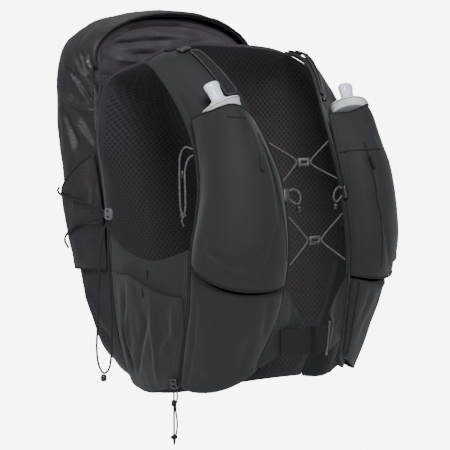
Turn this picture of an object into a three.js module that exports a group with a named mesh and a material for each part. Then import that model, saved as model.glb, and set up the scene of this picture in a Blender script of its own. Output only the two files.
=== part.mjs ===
// A running hydration vest, in millimetres, with +Z up.
// The front faces -Y and the wearer's right side is -X.
// The origin is midway between the two places where the vest rests on the shoulders.
import * as THREE from 'three';
import { mergeVertices } from 'three/addons/utils/BufferGeometryUtils.js';

// Driving sizes of the worn form
const HALF_WIDTH = 130;
const FRONT_REACH = 120;
const BACK_REACH = 116;
const DROP = 360;

// Cloth thicknesses and the gaps between sewn pieces
const PANEL_WALL = 2.4;
const BACK_WALL = 3;
const BAG_WALL = 1.6;
const POCKET_WALL = 1.5;
const SEAM_GAP = 0.8;

// Flasks and their pockets
const FLASK_HALF_WIDTH = 30;
const FLASK_HALF_DEPTH = 17;
const FLASK_STAND = 21.2;
const CAP_RADIUS = 22;
const CAP_HEIGHT = 15;
const VALVE_RADIUS = 9;
const VALVE_HEIGHT = 21;
const POCKET_BULGE = 41;

// Cords
const LACE_DIA = 2.2;
const RAIL_DIA = 3;
const SIDE_CORD_DIA = 2.6;
const LOOP_DIA = 2.4;
const THIN_CORD_DIA = 2;
const CORD_GAP = 0.4;

// Front panel and shoulder strap, a row per section from the hem to the top of the shoulder:
// innerX, innerY, innerZ, outerX, outerY, outerZ, crown.
// X is a share of HALF_WIDTH, Y of FRONT_REACH, Z of DROP, and the crown is in millimetres.
const FRONT_ROWS = [
  [0.477, -0.758, -0.9, 0.869, -0.258, -0.958, 6],
  [0.462, -0.783, -0.864, 0.9, -0.317, -0.883, 7],
  [0.415, -0.858, -0.8, 0.927, -0.392, -0.806, 8],
  [0.369, -0.942, -0.717, 0.946, -0.467, -0.722, 9],
  [0.358, -0.983, -0.642, 0.954, -0.5, -0.644, 9],
  [0.335, -0.997, -0.533, 0.946, -0.492, -0.544, 8],
  [0.335, -0.958, -0.439, 0.923, -0.533, -0.453, 6],
  [0.338, -0.887, -0.344, 0.908, -0.55, -0.361, 3],
  [0.362, -0.758, -0.25, 0.9, -0.483, -0.264, -2],
  [0.385, -0.608, -0.156, 0.9, -0.35, -0.175, -6],
  [0.454, -0.442, -0.072, 0.915, -0.183, -0.106, -3],
  [0.523, -0.275, -0.017, 0.919, -0.042, -0.056, 2],
  [0.569, -0.092, 0.022, 0.923, 0.067, -0.025, 4],
  [0.6, 0.158, 0.036, 0.927, 0.177, -0.01, 2],
];

// Back panel, a row per section from the shoulders to the hem:
// rightX, rightY, rightZ, leftX, leftY, leftZ, midY, midZ, flatness on the right and on the left,
// and the neck's share of the half width. The left half stands further out and forward.
const BACK_ROWS = [
  [0.927, 0.198, -0.008, 0.927, 0.198, -0.008, 0.431, 0.056, 2, 2, 0.66],
  [0.912, 0.431, -0.021, 0.969, 0.207, -0.022, 0.569, 0.017, 2.4, 2.4, 0.8],
  [0.896, 0.707, -0.036, 1.031, 0.19, -0.05, 0.724, -0.044, 3, 3, 1],
  [0.881, 0.905, -0.069, 1.1, 0.164, -0.094, 0.853, -0.122, 3.6, 3.2, 1],
  [0.885, 0.957, -0.15, 1.154, 0.147, -0.167, 0.948, -0.211, 4, 3.2, 1],
  [0.9, 0.948, -0.233, 1.192, 0.129, -0.239, 0.983, -0.289, 4, 3, 1],
  [0.923, 0.845, -0.294, 1.215, 0.121, -0.306, 1, -0.361, 4, 3, 1],
  [0.946, 0.716, -0.35, 1.235, 0.103, -0.367, 1, -0.433, 3.6, 3, 1],
  [0.973, 0.629, -0.422, 1.246, 0.086, -0.439, 0.991, -0.511, 3.2, 3, 1],
  [1, 0.595, -0.528, 1.254, 0.069, -0.528, 0.966, -0.6, 3, 3, 1],
  [0.977, 0.621, -0.653, 1.231, 0.121, -0.653, 0.914, -0.711, 3, 3.2, 1],
  [0.915, 0.647, -0.792, 1.169, 0.207, -0.797, 0.845, -0.833, 3, 3.6, 1],
  [0.831, 0.638, -0.911, 1.085, 0.293, -0.925, 0.784, -0.95, 3, 4.4, 1],
  [0.754, 0.603, -0.992, 0.985, 0.362, -1.039, 0.724, -1.061, 3, 5, 1],
];

// Bag shell, a row per section from its bottom edge up the back and over to the front rim:
// halfX, rightY, leftY, seamZ, midY, midZ, squareness of the section.
const BAG_ROWS = [
  [0.677, 0.724, 0.767, -0.961, 0.802, -1.017, 3],
  [0.762, 0.741, 0.776, -0.933, 1, -0.978, 3.4],
  [0.831, 0.75, 0.759, -0.872, 1.267, -0.906, 4],
  [0.869, 0.75, 0.733, -0.783, 1.483, -0.806, 4],
  [0.9, 0.75, 0.724, -0.653, 1.672, -0.667, 4],
  [0.915, 0.767, 0.724, -0.528, 1.819, -0.539, 4],
  [0.908, 0.862, 0.741, -0.389, 1.94, -0.394, 4],
  [0.9, 0.983, 0.759, -0.267, 2.043, -0.256, 4],
  [0.892, 1.022, 0.793, -0.172, 2.103, -0.117, 4],
  [0.885, 1.022, 0.828, -0.1, 2.129, 0, 4],
  [0.877, 1.022, 0.862, -0.075, 2.043, 0.089, 3.6],
  [0.869, 1.022, 0.897, -0.058, 1.793, 0.142, 3],
  [0.869, 1.022, 0.931, -0.042, 1.5, 0.169, 2.6],
  [0.869, 1.017, 0.966, -0.025, 1.224, 0.181, 2.4],
  [0.869, 1.009, 0.991, -0.008, 0.983, 0.175, 2.25],
  [0.846, 0.957, 0.94, -0.006, 0.905, 0.156, 2.25],
];

// How far the top of the bag leans to the wearer's right
const BAG_LEAN = 10;

// Folds pressed into the bag, each a line on it from (t0, v0) to (t1, v1),
// with a width and a depth in millimetres
const BAG_FOLDS = [
  [-0.99, 7.5, -0.72, 9.5, 9, 4.5],
  [-0.985, 7.9, -0.86, 9.9, 7, 3.5],
  [-0.985, 7.2, -0.6, 8.2, 9, 3],
  [0.99, 7.5, 0.72, 9.5, 9, 4.5],
  [0.985, 7.2, 0.6, 8.2, 9, 3],
  [-0.5, 3.4, 0.45, 3.0, 24, 4],
  [-0.3, 9.3, 0.35, 8.8, 26, 3.5],
];

// Side panel under the arm: bulge and dip of its top and bottom edges
const WING_BULGE_TOP = 6;
const WING_BULGE_HEM = 9;
const WING_DIP_TOP = 19;
const WING_DIP_HEM = 8;

// How far the front hem hangs between its corners
const HEM_SAG = 9;

// Waist strap and the bar that it passes round
const STRAP_TOP_Z = -283;
const STRAP_HEIGHT = 29;
const STRAP_Y = -107;
const STRAP_LEFT_X = 26.2;
const STRAP_RIGHT_X = -38;
const BAR_TOP = [30.5, -107.5, -279.5];
const BAR_FOOT = [27, -106, -316.5];
const BAR_DIA = 3.2;

const vec = (x, y, z) => new THREE.Vector3(x, y, z);
const mix = (a, b, t) => a + (b - a) * t;
const clamp = (x, a, b) => Math.min(b, Math.max(a, x));
const range = (n, a = 0, b = 1) => Array.from({ length: n + 1 }, (_, i) => mix(a, b, i / n));

// Smooth reading of a table at a row number that may fall between two rows
function rowAt(table, v) {
  const last = table.length - 1;
  const i = clamp(Math.floor(v), 0, last - 1);
  const t = v - i;
  const before = table[Math.max(0, i - 1)];
  const after = table[Math.min(last, i + 2)];
  return table[i].map((value, k) => {
    const next = table[i + 1][k];
    const slope0 = i > 0 ? (next - before[k]) / 2 : next - value;
    const slope1 = i + 1 < last ? (after[k] - value) / 2 : next - value;
    const t2 = t * t;
    const t3 = t2 * t;
    return value * (2 * t3 - 3 * t2 + 1) + slope0 * (t3 - 2 * t2 + t)
      + next * (3 * t2 - 2 * t3) + slope1 * (t3 - t2);
  });
}

// Outward direction of a surface, from two small steps on it
function facing(point, u, v, sign, du = 0.01, dv = 0.05) {
  const a = point(u + du, v).sub(point(u - du, v));
  const b = point(u, v + dv).sub(point(u, v - dv));
  return a.cross(b).normalize().multiplyScalar(sign);
}

// The front panel's inner face: s from its inner edge to the armhole, v along its rows
function frontPoint(side, s, v) {
  const corners = (w) => {
    const r = rowAt(FRONT_ROWS, w);
    return [
      vec(r[0] * HALF_WIDTH, r[1] * FRONT_REACH, r[2] * DROP),
      vec(r[3] * HALF_WIDTH, r[4] * FRONT_REACH, r[5] * DROP),
      r[6],
    ];
  };
  const [inner, outer, crown] = corners(v);
  const above = corners(Math.min(v + 0.2, 13));
  const below = corners(Math.max(v - 0.2, 0));
  const chord = outer.clone().sub(inner);
  const along = above[0].add(above[1]).sub(below[0]).sub(below[1]);
  const out = chord.clone().cross(along).normalize();
  const p = inner.addScaledVector(chord, s).addScaledVector(out, crown * 4 * s * (1 - s));
  p.x *= side;
  p.z -= HEM_SAG * clamp(1 - v / 2.5, 0, 1) ** 2 * 4 * s * (1 - s);
  return p;
}

// The back panel's inner face: t from the wearer's right to the left, v down its rows
function backPoint(t, v) {
  const row = rowAt(BACK_ROWS, v);
  const [midY, midZ, flatRight, flatLeft, neck] = row.slice(6);
  const [edgeX, edgeY, edgeZ] = t < 0 ? row.slice(0, 3) : row.slice(3, 6);
  const flat = t < 0 ? flatRight : flatLeft;
  const reach = Math.min(1, Math.abs(t) / neck);
  const dip = neck < 0.98 ? (1 - reach ** 2) ** 2 : 1 - Math.abs(t) ** flat;
  const blend = clamp((neck - 0.66) / 0.32, 0, 1);
  const round = mix(dip, 1 - Math.abs(t) ** flat, blend);
  const rise = 1 - Math.abs(t) ** mix(2.8, flat, blend);
  return vec(
    t * edgeX * HALF_WIDTH,
    mix(edgeY, midY, round) * BACK_REACH,
    mix(edgeZ, midZ, rise) * DROP,
  );
}

// The bag's inner face: t from the wearer's right to the left, v along its rows
function bagPoint(t, v) {
  const [halfX, rightY, leftY, seamZ, midY, midZ, square] = rowAt(BAG_ROWS, v);
  const seamY = t < 0 ? rightY : leftY;
  const angle = t * Math.PI / 2;
  const wide = Math.sign(t) * Math.abs(Math.sin(angle)) ** (2 / square);
  const deep = Math.max(0, Math.cos(angle)) ** (2 / square);
  const side = 1 + 0.045 * Math.sin(Math.PI * Math.min(1, deep)) * Math.abs(wide);
  const p = vec(
    wide * halfX * HALF_WIDTH * side,
    mix(seamY, midY, deep) * BACK_REACH,
    mix(seamZ, midZ, deep) * DROP,
  );
  p.x -= BAG_LEAN * clamp((v - 9) / 3, 0, 1);
  return p;
}

// How deep the folds press into the bag at (t, v)
const foldLines = BAG_FOLDS.map(([t0, v0, t1, v1, width, most]) => ({
  line: new THREE.Line3(bagPoint(t0, v0), bagPoint(t1, v1)), width, most,
}));
function foldDepth(t, v) {
  const p = bagPoint(t, v);
  const nearest = vec(0, 0, 0);
  let depth = 0;
  for (const { line, width, most } of foldLines) {
    line.closestPointToPoint(p, true, nearest);
    depth += most * Math.exp(-((nearest.distanceTo(p) / width) ** 2));
  }
  return depth;
}

// The side panel's inner face: s from front to back, w from the armhole to the hem
function wingPoint(side, s, w) {
  const front = frontPoint(1, 1, mix(5, 0, w));
  const back = backPoint(side, mix(9, 13, w));
  back.x *= side;
  front.x += SEAM_GAP * 1.1;
  front.y += SEAM_GAP * 1.1;
  back.y -= SEAM_GAP * 0.6;
  const p = front.clone().lerp(back, s);
  p.x += mix(WING_BULGE_TOP, WING_BULGE_HEM, w) * 4 * s * (1 - s);
  p.z -= mix(WING_DIP_TOP, WING_DIP_HEM, w) * Math.sin(Math.PI * s);
  p.x *= side;
  return p;
}

const front = (side) => ({
  point: (s, v) => frontPoint(side, s, v),
  normal: (s, v) => facing((a, b) => frontPoint(side, a, b), s, clamp(v, 0.06, 12.94), side),
});
const back = {
  point: backPoint,
  normal: (t, v) => facing(backPoint, t, clamp(v, 0.06, 12.94), -1).multiplyScalar(-1),
};
const bag = {
  point: bagPoint,
  normal: (t, v) => facing(bagPoint, clamp(t, -0.988, 0.988), clamp(v, 0.06, 14.94), -1),
};
const wing = (side) => ({
  point: (s, w) => wingPoint(side, s, w),
  normal: (s, w) => facing((a, b) => wingPoint(side, a, b), s, clamp(w, 0.03, 0.97), -side, 0.01, 0.02),
});

// A point standing off a surface by a distance in millimetres
const standOff = (surface, u, v, distance) =>
  surface.point(u, v).addScaledVector(surface.normal(u, v), distance);

const parts = new THREE.Group();
parts.name = 'hydration_vest';

const CLOTHS = {
  mesh: ['#26232a', 0.95],
  ripstop: ['#403e45', 0.42],
  stretch: ['#35393c', 0.85],
  pocket: ['#33373a', 0.8],
  webbing: ['#2b2a2d', 0.8],
  cord: ['#5a5456', 0.75],
  darkCord: ['#1d1d20', 0.8],
  plastic: ['#3c3c40', 0.5],
  steel: ['#8b8b90', 0.35],
  flask: ['#c9d6df', 0.3],
  cap: ['#b6bbb7', 0.45],
  valve: ['#cdd9e6', 0.25],
};

// Gives a closed shape its material and name, turned so that its faces point outward
function add(name, geometry, look) {
  const plain = new THREE.BufferGeometry();
  plain.setAttribute('position', geometry.getAttribute('position'));
  if (geometry.index) plain.setIndex(geometry.index);
  const merged = mergeVertices(plain, 1e-4);
  const at = merged.getAttribute('position');
  const index = Array.from(merged.index.array);
  let volume = 0;
  const [a, b, c] = [vec(), vec(), vec()];
  const kept = [];
  for (let i = 0; i < index.length; i += 3) {
    const [p, q, r] = index.slice(i, i + 3);
    if (p === q || q === r || p === r) continue;
    kept.push(p, q, r);
    a.fromBufferAttribute(at, p);
    b.fromBufferAttribute(at, q);
    c.fromBufferAttribute(at, r);
    volume += a.dot(b.cross(c));
  }
  if (volume < 0) {
    for (let i = 0; i < kept.length; i += 3) {
      [kept[i], kept[i + 1]] = [kept[i + 1], kept[i]];
    }
  }
  merged.setIndex(kept);
  merged.computeVertexNormals();
  const [color, roughness] = CLOTHS[look];
  const metalness = look === 'steel' ? 0.9 : 0;
  const mesh = new THREE.Mesh(merged, new THREE.MeshStandardMaterial({ color, roughness, metalness }));
  mesh.name = name;
  parts.add(mesh);
  return mesh;
}

// Closed sheet between two distances from a surface.
// place(a, b) gives the surface's own (u, v); low and high are distances at (u, v, a, b).
function sheet(name, surface, as, bs, place, low, high, look) {
  const positions = [];
  const rows = as.length;
  const columns = bs.length;
  for (const layer of [low, high]) {
    for (const a of as) {
      for (const b of bs) {
        const [u, v] = place(a, b);
        const p = surface.point(u, v).addScaledVector(surface.normal(u, v), layer(u, v, a, b));
        positions.push(p.x, p.y, p.z);
      }
    }
  }
  const index = [];
  const inner = (i, j) => i * columns + j;
  const outer = (i, j) => rows * columns + i * columns + j;
  const quad = (p, q, r, s) => index.push(p, q, r, p, r, s);
  for (let i = 0; i + 1 < rows; i += 1) {
    for (let j = 0; j + 1 < columns; j += 1) {
      quad(outer(i, j), outer(i + 1, j), outer(i + 1, j + 1), outer(i, j + 1));
      quad(inner(i, j), inner(i, j + 1), inner(i + 1, j + 1), inner(i + 1, j));
    }
  }
  for (let i = 0; i + 1 < rows; i += 1) {
    quad(inner(i, 0), inner(i + 1, 0), outer(i + 1, 0), outer(i, 0));
    quad(inner(i + 1, columns - 1), inner(i, columns - 1), outer(i, columns - 1), outer(i + 1, columns - 1));
  }
  for (let j = 0; j + 1 < columns; j += 1) {
    quad(inner(0, j + 1), inner(0, j), outer(0, j), outer(0, j + 1));
    quad(inner(rows - 1, j), inner(rows - 1, j + 1), outer(rows - 1, j + 1), outer(rows - 1, j));
  }
  const geometry = new THREE.BufferGeometry();
  geometry.setAttribute('position', new THREE.Float32BufferAttribute(positions, 3));
  geometry.setIndex(index);
  return add(name, geometry, look);
}

// Closed body through rings of equal point counts, closed by a point at each end
function rings(name, loops, look) {
  const count = loops[0].length;
  const positions = [];
  for (const loop of loops) for (const p of loop) positions.push(p.x, p.y, p.z);
  const centre = (loop) => loop.reduce((sum, p) => sum.add(p), vec(0, 0, 0)).divideScalar(count);
  const foot = centre(loops[0]);
  const head = centre(loops[loops.length - 1]);
  positions.push(foot.x, foot.y, foot.z, head.x, head.y, head.z);
  const index = [];
  const total = loops.length * count;
  for (let i = 0; i + 1 < loops.length; i += 1) {
    for (let j = 0; j < count; j += 1) {
      const k = (j + 1) % count;
      const [p, q] = [i * count + j, i * count + k];
      index.push(p, q, q + count, p, q + count, p + count);
    }
  }
  for (let j = 0; j < count; j += 1) {
    const k = (j + 1) % count;
    index.push(total, k, j);
    index.push(total + 1, total - count + j, total - count + k);
  }
  const geometry = new THREE.BufferGeometry();
  geometry.setAttribute('position', new THREE.Float32BufferAttribute(positions, 3));
  geometry.setIndex(index);
  return add(name, geometry, look);
}

// Body of revolution about an axis from a start point: profile rows are [height, radius]
function turned(name, start, axis, across, profile, sides, look, flatten = 1) {
  const up = axis.clone().normalize();
  const right = across.clone().addScaledVector(up, -across.dot(up)).normalize();
  const ahead = up.clone().cross(right);
  const loops = profile.map(([height, radius]) => range(sides - 1, 0, (sides - 1) / sides)
    .map((share) => {
      const angle = share * Math.PI * 2;
      return start.clone().addScaledVector(up, height)
        .addScaledVector(right, radius * Math.cos(angle))
        .addScaledVector(ahead, radius * flatten * Math.sin(angle));
    }));
  return rings(name, loops, look);
}

// Plain round cord through chosen points, with a number of steps between each two
function cord(name, points, diameter, perSpan, look = 'cord') {
  const steps = perSpan * (points.length - 1);
  const path = new THREE.CatmullRomCurve3(points, false, 'centripetal');
  path.getPointAt = (u, target) => path.getPoint(u, target);
  path.getTangentAt = (u, target) => path.getTangent(u, target);
  const section = new THREE.Shape();
  const sides = 8;
  for (let i = 0; i < sides; i += 1) {
    const angle = i / sides * Math.PI * 2;
    const [x, y] = [Math.cos(angle) * diameter / 2, Math.sin(angle) * diameter / 2];
    if (i) section.lineTo(x, y);
    else section.moveTo(x, y);
  }
  section.closePath();
  const geometry = new THREE.ExtrudeGeometry(section, { steps, extrudePath: path, curveSegments: 1 });
  return add(name, geometry, look);
}

// Flat plate with rounded corners and optional slots, centred on a place and facing a normal
function plate(name, centre, normal, up, width, height, depth, slots, look) {
  const z = normal.clone().normalize();
  const x = up.clone().cross(z).normalize();
  const y = z.clone().cross(x);
  const corner = Math.min(width, height) * 0.18;
  const [w, h] = [width / 2, height / 2];
  const shape = new THREE.Shape();
  shape.moveTo(-w + corner, -h);
  shape.lineTo(w - corner, -h);
  shape.lineTo(w, -h + corner);
  shape.lineTo(w, h - corner);
  shape.lineTo(w - corner, h);
  shape.lineTo(-w + corner, h);
  shape.lineTo(-w, h - corner);
  shape.lineTo(-w, -h + corner);
  shape.closePath();
  for (const [cx, cy, sw, sh] of slots) {
    const hole = new THREE.Path();
    hole.moveTo(cx - sw / 2, cy - sh / 2);
    hole.lineTo(cx - sw / 2, cy + sh / 2);
    hole.lineTo(cx + sw / 2, cy + sh / 2);
    hole.lineTo(cx + sw / 2, cy - sh / 2);
    hole.closePath();
    shape.holes.push(hole);
  }
  const geometry = new THREE.ExtrudeGeometry(shape, { depth, bevelEnabled: false, curveSegments: 1 });
  geometry.translate(0, 0, -depth / 2);
  geometry.applyMatrix4(new THREE.Matrix4().makeBasis(x, y, z).setPosition(centre));
  return add(name, geometry, look);
}

// Barrel bead centred on a place, its axis given
function bead(name, centre, axis, radius, length, look = 'darkCord') {
  const h = length / 2;
  const profile = [[-h, radius * 0.55], [-h * 0.6, radius], [h * 0.6, radius], [h, radius * 0.55]];
  const across = Math.abs(axis.z) > 0.8 ? vec(1, 0, 0) : vec(0, 0, 1);
  return turned(name, centre, axis, across, profile, 10, look);
}

const named = (base, side) => `${base}_${side < 0 ? 'right' : 'left'}`;

// Back panel with its folded collar band
const collarBand = (v) => 1.4 * clamp((0.55 - v) / 0.2, 0, 1);
sheet('back_panel', back, range(16, -1, 1), [0, 0.25, 0.5, 1, 2, 3, 4, 5, 6.5, 8, 9.5, 11, 12, 13],
  (a, b) => [a, b], () => 0, (t, v) => BACK_WALL + collarBand(v), 'mesh');

// Bag shell, its rolled rim, and the wall in front of its mouth
const bagKnots = [-1, -0.985, -0.94, -0.85, -0.72, -0.55, -0.35, -0.12,
  0.12, 0.35, 0.55, 0.72, 0.85, 0.94, 0.985, 1];
const rimRoll = (v) => 2.2 * clamp((v - 14) / 0.5, 0, 1);
sheet('bag_shell', bag, bagKnots,
  [0, 1, 2, 3, 4.5, 6, 7, 7.7, 8.4, 9, 9.6, 10.3, 11, 12, 13, 14, 14.5, 15],
  (a, b) => [a, b], (t, v) => -foldDepth(t, v), (t, v) => BAG_WALL + rimRoll(v) - foldDepth(t, v), 'ripstop');

const rimZ = BAG_ROWS[15][5] * DROP;
const rimHalf = BAG_ROWS[15][0] * HALF_WIDTH;
function wallPoint(t, w) {
  const x = t * (t < 0 ? 115 : 101);
  const share = Math.min(1, Math.abs(x + BAG_LEAN) / rimHalf);
  const top = rimZ * (1 - share ** 2.3) ** (1 / 2.3) - 7;
  const z = mix(-0.2 * DROP, Math.max(top, -0.05 * DROP), w);
  const sag = 2.5 * Math.sin(Math.PI * w) * (1 - t * t);
  return vec(x, BACK_REACH + 0.4 - sag, z);
}
sheet('bag_front_wall', { point: wallPoint, normal: () => vec(0, -1, 0) },
  [-1, -0.94, -0.82, -0.6, -0.3, 0, 0.3, 0.6, 0.82, 0.94, 1],
  range(4), (a, b) => [a, b], () => 0, () => BAG_WALL, 'ripstop');

for (const side of [-1, 1]) {
  const panel = front(side);
  const flank = wing(side);

  // Stash pocket on the bag's side, its top edge falling toward the back
  const depthAt = (a) => mix(0.05, 0.88, a);
  const stashTop = (a) => mix(6.86, 5.6, a);
  const stashFull = (a, b) => 3 * Math.sin(Math.PI * a) * Math.sin(Math.PI * (0.08 + 0.55 * b));
  sheet(named('stash_pocket', side), bag, range(8), range(6),
    (a, b) => [side * Math.acos(depthAt(a) ** 2) * 2 / Math.PI, mix(4.1, stashTop(a), b)],
    (u, v, a, b) => BAG_WALL + SEAM_GAP + stashFull(a, b),
    (u, v, a, b) => BAG_WALL + SEAM_GAP + POCKET_WALL + stashFull(a, b), 'ripstop');

  // Side panel under the arm and its slit pocket
  sheet(named('side_wing', side), flank, range(8), range(6), (a, b) => [a, b],
    () => 0, () => PANEL_WALL, 'stretch');
  const slit = (s) => mix(0.32, 0.2, s);
  const pouchFull = (u, v, a, b) => (1.2 + 3.2 * (1 - b)) * Math.sin(Math.PI * a) + 1.2 * Math.sin(5 * Math.PI * a) * b;
  sheet(named('side_pocket', side), flank, range(10, 0.05, 0.95), range(5),
    (a, b) => [a, mix(slit(a), 0.975, b)],
    (u, v, a, b) => PANEL_WALL + SEAM_GAP + pouchFull(u, v, a, b),
    (u, v, a, b) => PANEL_WALL + SEAM_GAP + POCKET_WALL + pouchFull(u, v, a, b), 'stretch');

  // Front panel with its shoulder strap
  const across = [0, 0.06, 0.2, 0.4, 0.6, 0.8, 0.94, 1];
  sheet(named('front_panel', side), panel, across,
    [0, 0.5, 1, 2, 3, 4, 5, 6, 7, 8, 9, 10, 10.5, 11, 11.5, 12, 12.5, 13],
    (a, b) => [a, b], () => 0, () => PANEL_WALL, 'stretch');

  // Lower pocket, its top edge rising toward the armhole
  const lowerTop = (s) => 3.95 - 0.12 * Math.sin(Math.PI * clamp(s / 0.7, 0, 1)) + 0.7 * clamp((s - 0.6) / 0.4, 0, 1) ** 2;
  const swell = (s, power) => Math.max(0, Math.sin(Math.PI * clamp((s - 0.02) / 0.96, 0, 1))) ** power;
  const lowerFull = (u, v, a, b) => mix(10, 23, b) * swell(a, 0.55);
  sheet(named('lower_pocket', side), panel, [0.02, ...across.slice(1, 7), 0.98], range(6),
    (a, b) => [a, mix(0.06, lowerTop(a), b)],
    (u, v, a, b) => PANEL_WALL + SEAM_GAP + lowerFull(u, v, a, b),
    (u, v, a, b) => PANEL_WALL + SEAM_GAP + POCKET_WALL + lowerFull(u, v, a, b), 'pocket');

  // Flask pocket, open at the top round the flask's neck
  const pouch = (v) => mix(28, POCKET_BULGE, Math.sin(Math.PI / 2 * clamp((v - 3.9) / 1.2, 0, 1)));
  const flaskFull = (u, v, a) => pouch(v) * swell(a, 0.46);
  sheet(named('flask_pocket', side), panel, [0.02, 0.06, 0.13, 0.28, 0.5, 0.72, 0.87, 0.94, 0.98],
    range(9),
    (a, b) => [a, mix(lowerTop(a) + 0.1, 8.66, b)],
    (u, v, a) => PANEL_WALL + SEAM_GAP + flaskFull(u, v, a),
    (u, v, a) => PANEL_WALL + SEAM_GAP + POCKET_WALL + flaskFull(u, v, a), 'pocket');

  // Soft flask, following the panel behind it
  const flaskCentre = 0.51;
  const loops = [[5.0, 0.45], [5.25, 0.8], [5.7, 1], [6.6, 1], [7.6, 1], [8.15, 0.92], [8.5, 0.66]]
    .map(([v, full]) => {
      const middle = standOff(panel, flaskCentre, v, FLASK_STAND);
      const n = panel.normal(flaskCentre, v);
      const along = panel.point(flaskCentre, v + 0.1).sub(panel.point(flaskCentre, v - 0.1)).normalize();
      const wide = along.clone().cross(n).normalize();
      return range(11, 0, 11 / 12).map((share) => {
        const angle = share * Math.PI * 2;
        return middle.clone().addScaledVector(wide, FLASK_HALF_WIDTH * full * Math.cos(angle))
          .addScaledVector(n, FLASK_HALF_DEPTH * full * Math.sin(angle));
      });
    });
  rings(named('flask', side), loops, 'flask');

  // Screw cap with its dome, and the bite valve on it
  const capFoot = standOff(panel, flaskCentre, 8.93, 26.4);
  const capAxis = standOff(panel, flaskCentre, 9.6, 25.5).sub(capFoot).normalize();
  const capAcross = panel.point(0.9, 9).sub(panel.point(0.1, 9)).normalize();
  turned(named('flask_cap', side), capFoot, capAxis, capAcross,
    [[0, CAP_RADIUS], [CAP_HEIGHT * 0.5, CAP_RADIUS], [CAP_HEIGHT * 0.72, CAP_RADIUS * 0.9],
      [CAP_HEIGHT * 0.9, CAP_RADIUS * 0.7], [CAP_HEIGHT, CAP_RADIUS * 0.45]], 18, 'cap');
  turned(named('bite_valve', side), capFoot.clone().addScaledVector(capAxis, CAP_HEIGHT + 0.3), capAxis,
    capAcross, [[0, VALVE_RADIUS * 0.8], [2, VALVE_RADIUS], [VALVE_HEIGHT * 0.8, VALVE_RADIUS * 0.95],
      [VALVE_HEIGHT, VALVE_RADIUS * 0.8]], 12, 'valve', 0.8);

  // Lace rail along the inner edge
  const toCentre = vec(-side, 0, 0);
  const railAt = (v) => panel.point(0, v).addScaledVector(toCentre, RAIL_DIA / 2 + 0.9)
    .addScaledVector(panel.normal(0, v), 1.2);
  cord(named('lace_rail', side), [8.2, 7.5, 7, 6, 5, 4.4, 4.1].map(railAt), RAIL_DIA, 2);

  // The two laces, each turning round the end of its hook
  const railStep = (RAIL_DIA + LACE_DIA) / 2 + CORD_GAP;
  const lace = (base, upper, lower, hook) => {
    const from = railAt(upper).addScaledVector(toCentre, railStep);
    const to = railAt(lower).addScaledVector(toCentre, railStep);
    const apex = vec(side * 10.2, hook.y, hook.z);
    cord(named(base, side), [from, apex.clone().add(vec(side * 1.5, 0, 2.6)), apex.clone(),
      apex.clone().add(vec(side * 1.5, 0, -2.6)), to], LACE_DIA, 3);
  };
  lace('lace_upper', 8.1, 6.95, vec(0, -97.5, -107));
  lace('lace_lower', 5.85, 4.5, vec(0, -115, -189));

  // Cord lock in front of the rail, with its small loop and bead
  const lockAt = railAt(6.5).addScaledVector(panel.normal(0, 6.5), RAIL_DIA / 2 + 3);
  plate(named('lace_lock', side), lockAt, panel.normal(0, 6.5), vec(0, 0, 1), 6.5, 14, 5, [], 'plastic');
  const nearLock = (dx, dy, dz) => lockAt.clone().add(vec(-side * dx, dy, dz));
  cord(named('lock_loop', side), [nearLock(4.8, 0, 4), nearLock(9, -1, 6), nearLock(16, -2, 3),
    nearLock(19, -2, -4), nearLock(16, -2, -9.5), nearLock(10, -1, -8), nearLock(4.8, 0, -4)],
  THIN_CORD_DIA, 2);
  bead(named('lock_bead', side), nearLock(16.5, -2, -14.6), vec(0, 0, 1), 3, 6.5);

  // Shoulder tab, load lifter buckle, its strap along the inner edge, and the end bead
  sheet(named('shoulder_tab', side), panel, range(2), range(2),
    (a, b) => [mix(0.08, 0.42, a), mix(12.62, 12.96, b)],
    () => PANEL_WALL + 0.6, () => PANEL_WALL + 2.6, 'webbing');
  plate(named('lifter_buckle', side), standOff(panel, 0.2, 12.28, PANEL_WALL + 1.9),
    panel.normal(0.2, 12.28), panel.point(0.2, 12.5).sub(panel.point(0.2, 12)), 15, 11, 2.6,
    [[0, 2.6, 9, 1.8], [0, -2.6, 9, 1.8]], 'plastic');
  sheet(named('lifter_strap', side), panel, range(2), range(8),
    (a, b) => [mix(0.03, 0.2, a), mix(9.7, 11.98, b)],
    () => PANEL_WALL + 1, () => PANEL_WALL + 2.8, 'webbing');
  bead(named('lifter_bead', side), standOff(panel, 0.1, 9.5, PANEL_WALL + 4), vec(1, 0, 0), 2.6, 6);

  // Zip pull hanging on the flask pocket
  const pullShare = side < 0 ? 0.32 : 0.17;
  const pullStand = PANEL_WALL + SEAM_GAP + POCKET_WALL + POCKET_BULGE * swell(pullShare, 0.46) + (side < 0 ? 1.2 : 2.3);
  plate(named('zip_pull', side), standOff(panel, pullShare, 7.15, pullStand), panel.normal(pullShare, 7.15),
    vec(0, 0, 1), 4, 15, 1.6, [], 'webbing');

  // Side buckle and the compression cord over the bag's side
  const buckleAt = vec(side * 134, 72, -166);
  plate(named('side_buckle', side), buckleAt, vec(side, 0.1, 0), vec(0, 0, 1), 13, 13, 3.6,
    [[0, 3, 7, 2], [0, -3, 7, 2]], 'plastic');
  const onBag = (t, v) => standOff(bag, side * t, v, BAG_WALL + 7.4);
  cord(named('side_cord', side), [onBag(0.5, 5.98), onBag(0.65, 5.9), onBag(0.8, 5.8), onBag(0.92, 5.72),
    buckleAt.clone().add(vec(0, 9.5, 3)), buckleAt.clone().add(vec(0, 8.4, 0)),
    buckleAt.clone().add(vec(0, 9.5, -3)), onBag(0.92, 5.2), onBag(0.8, 5), onBag(0.65, 4.8),
    onBag(0.5, 4.6)], SIDE_CORD_DIA, 3, 'darkCord');
}

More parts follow.
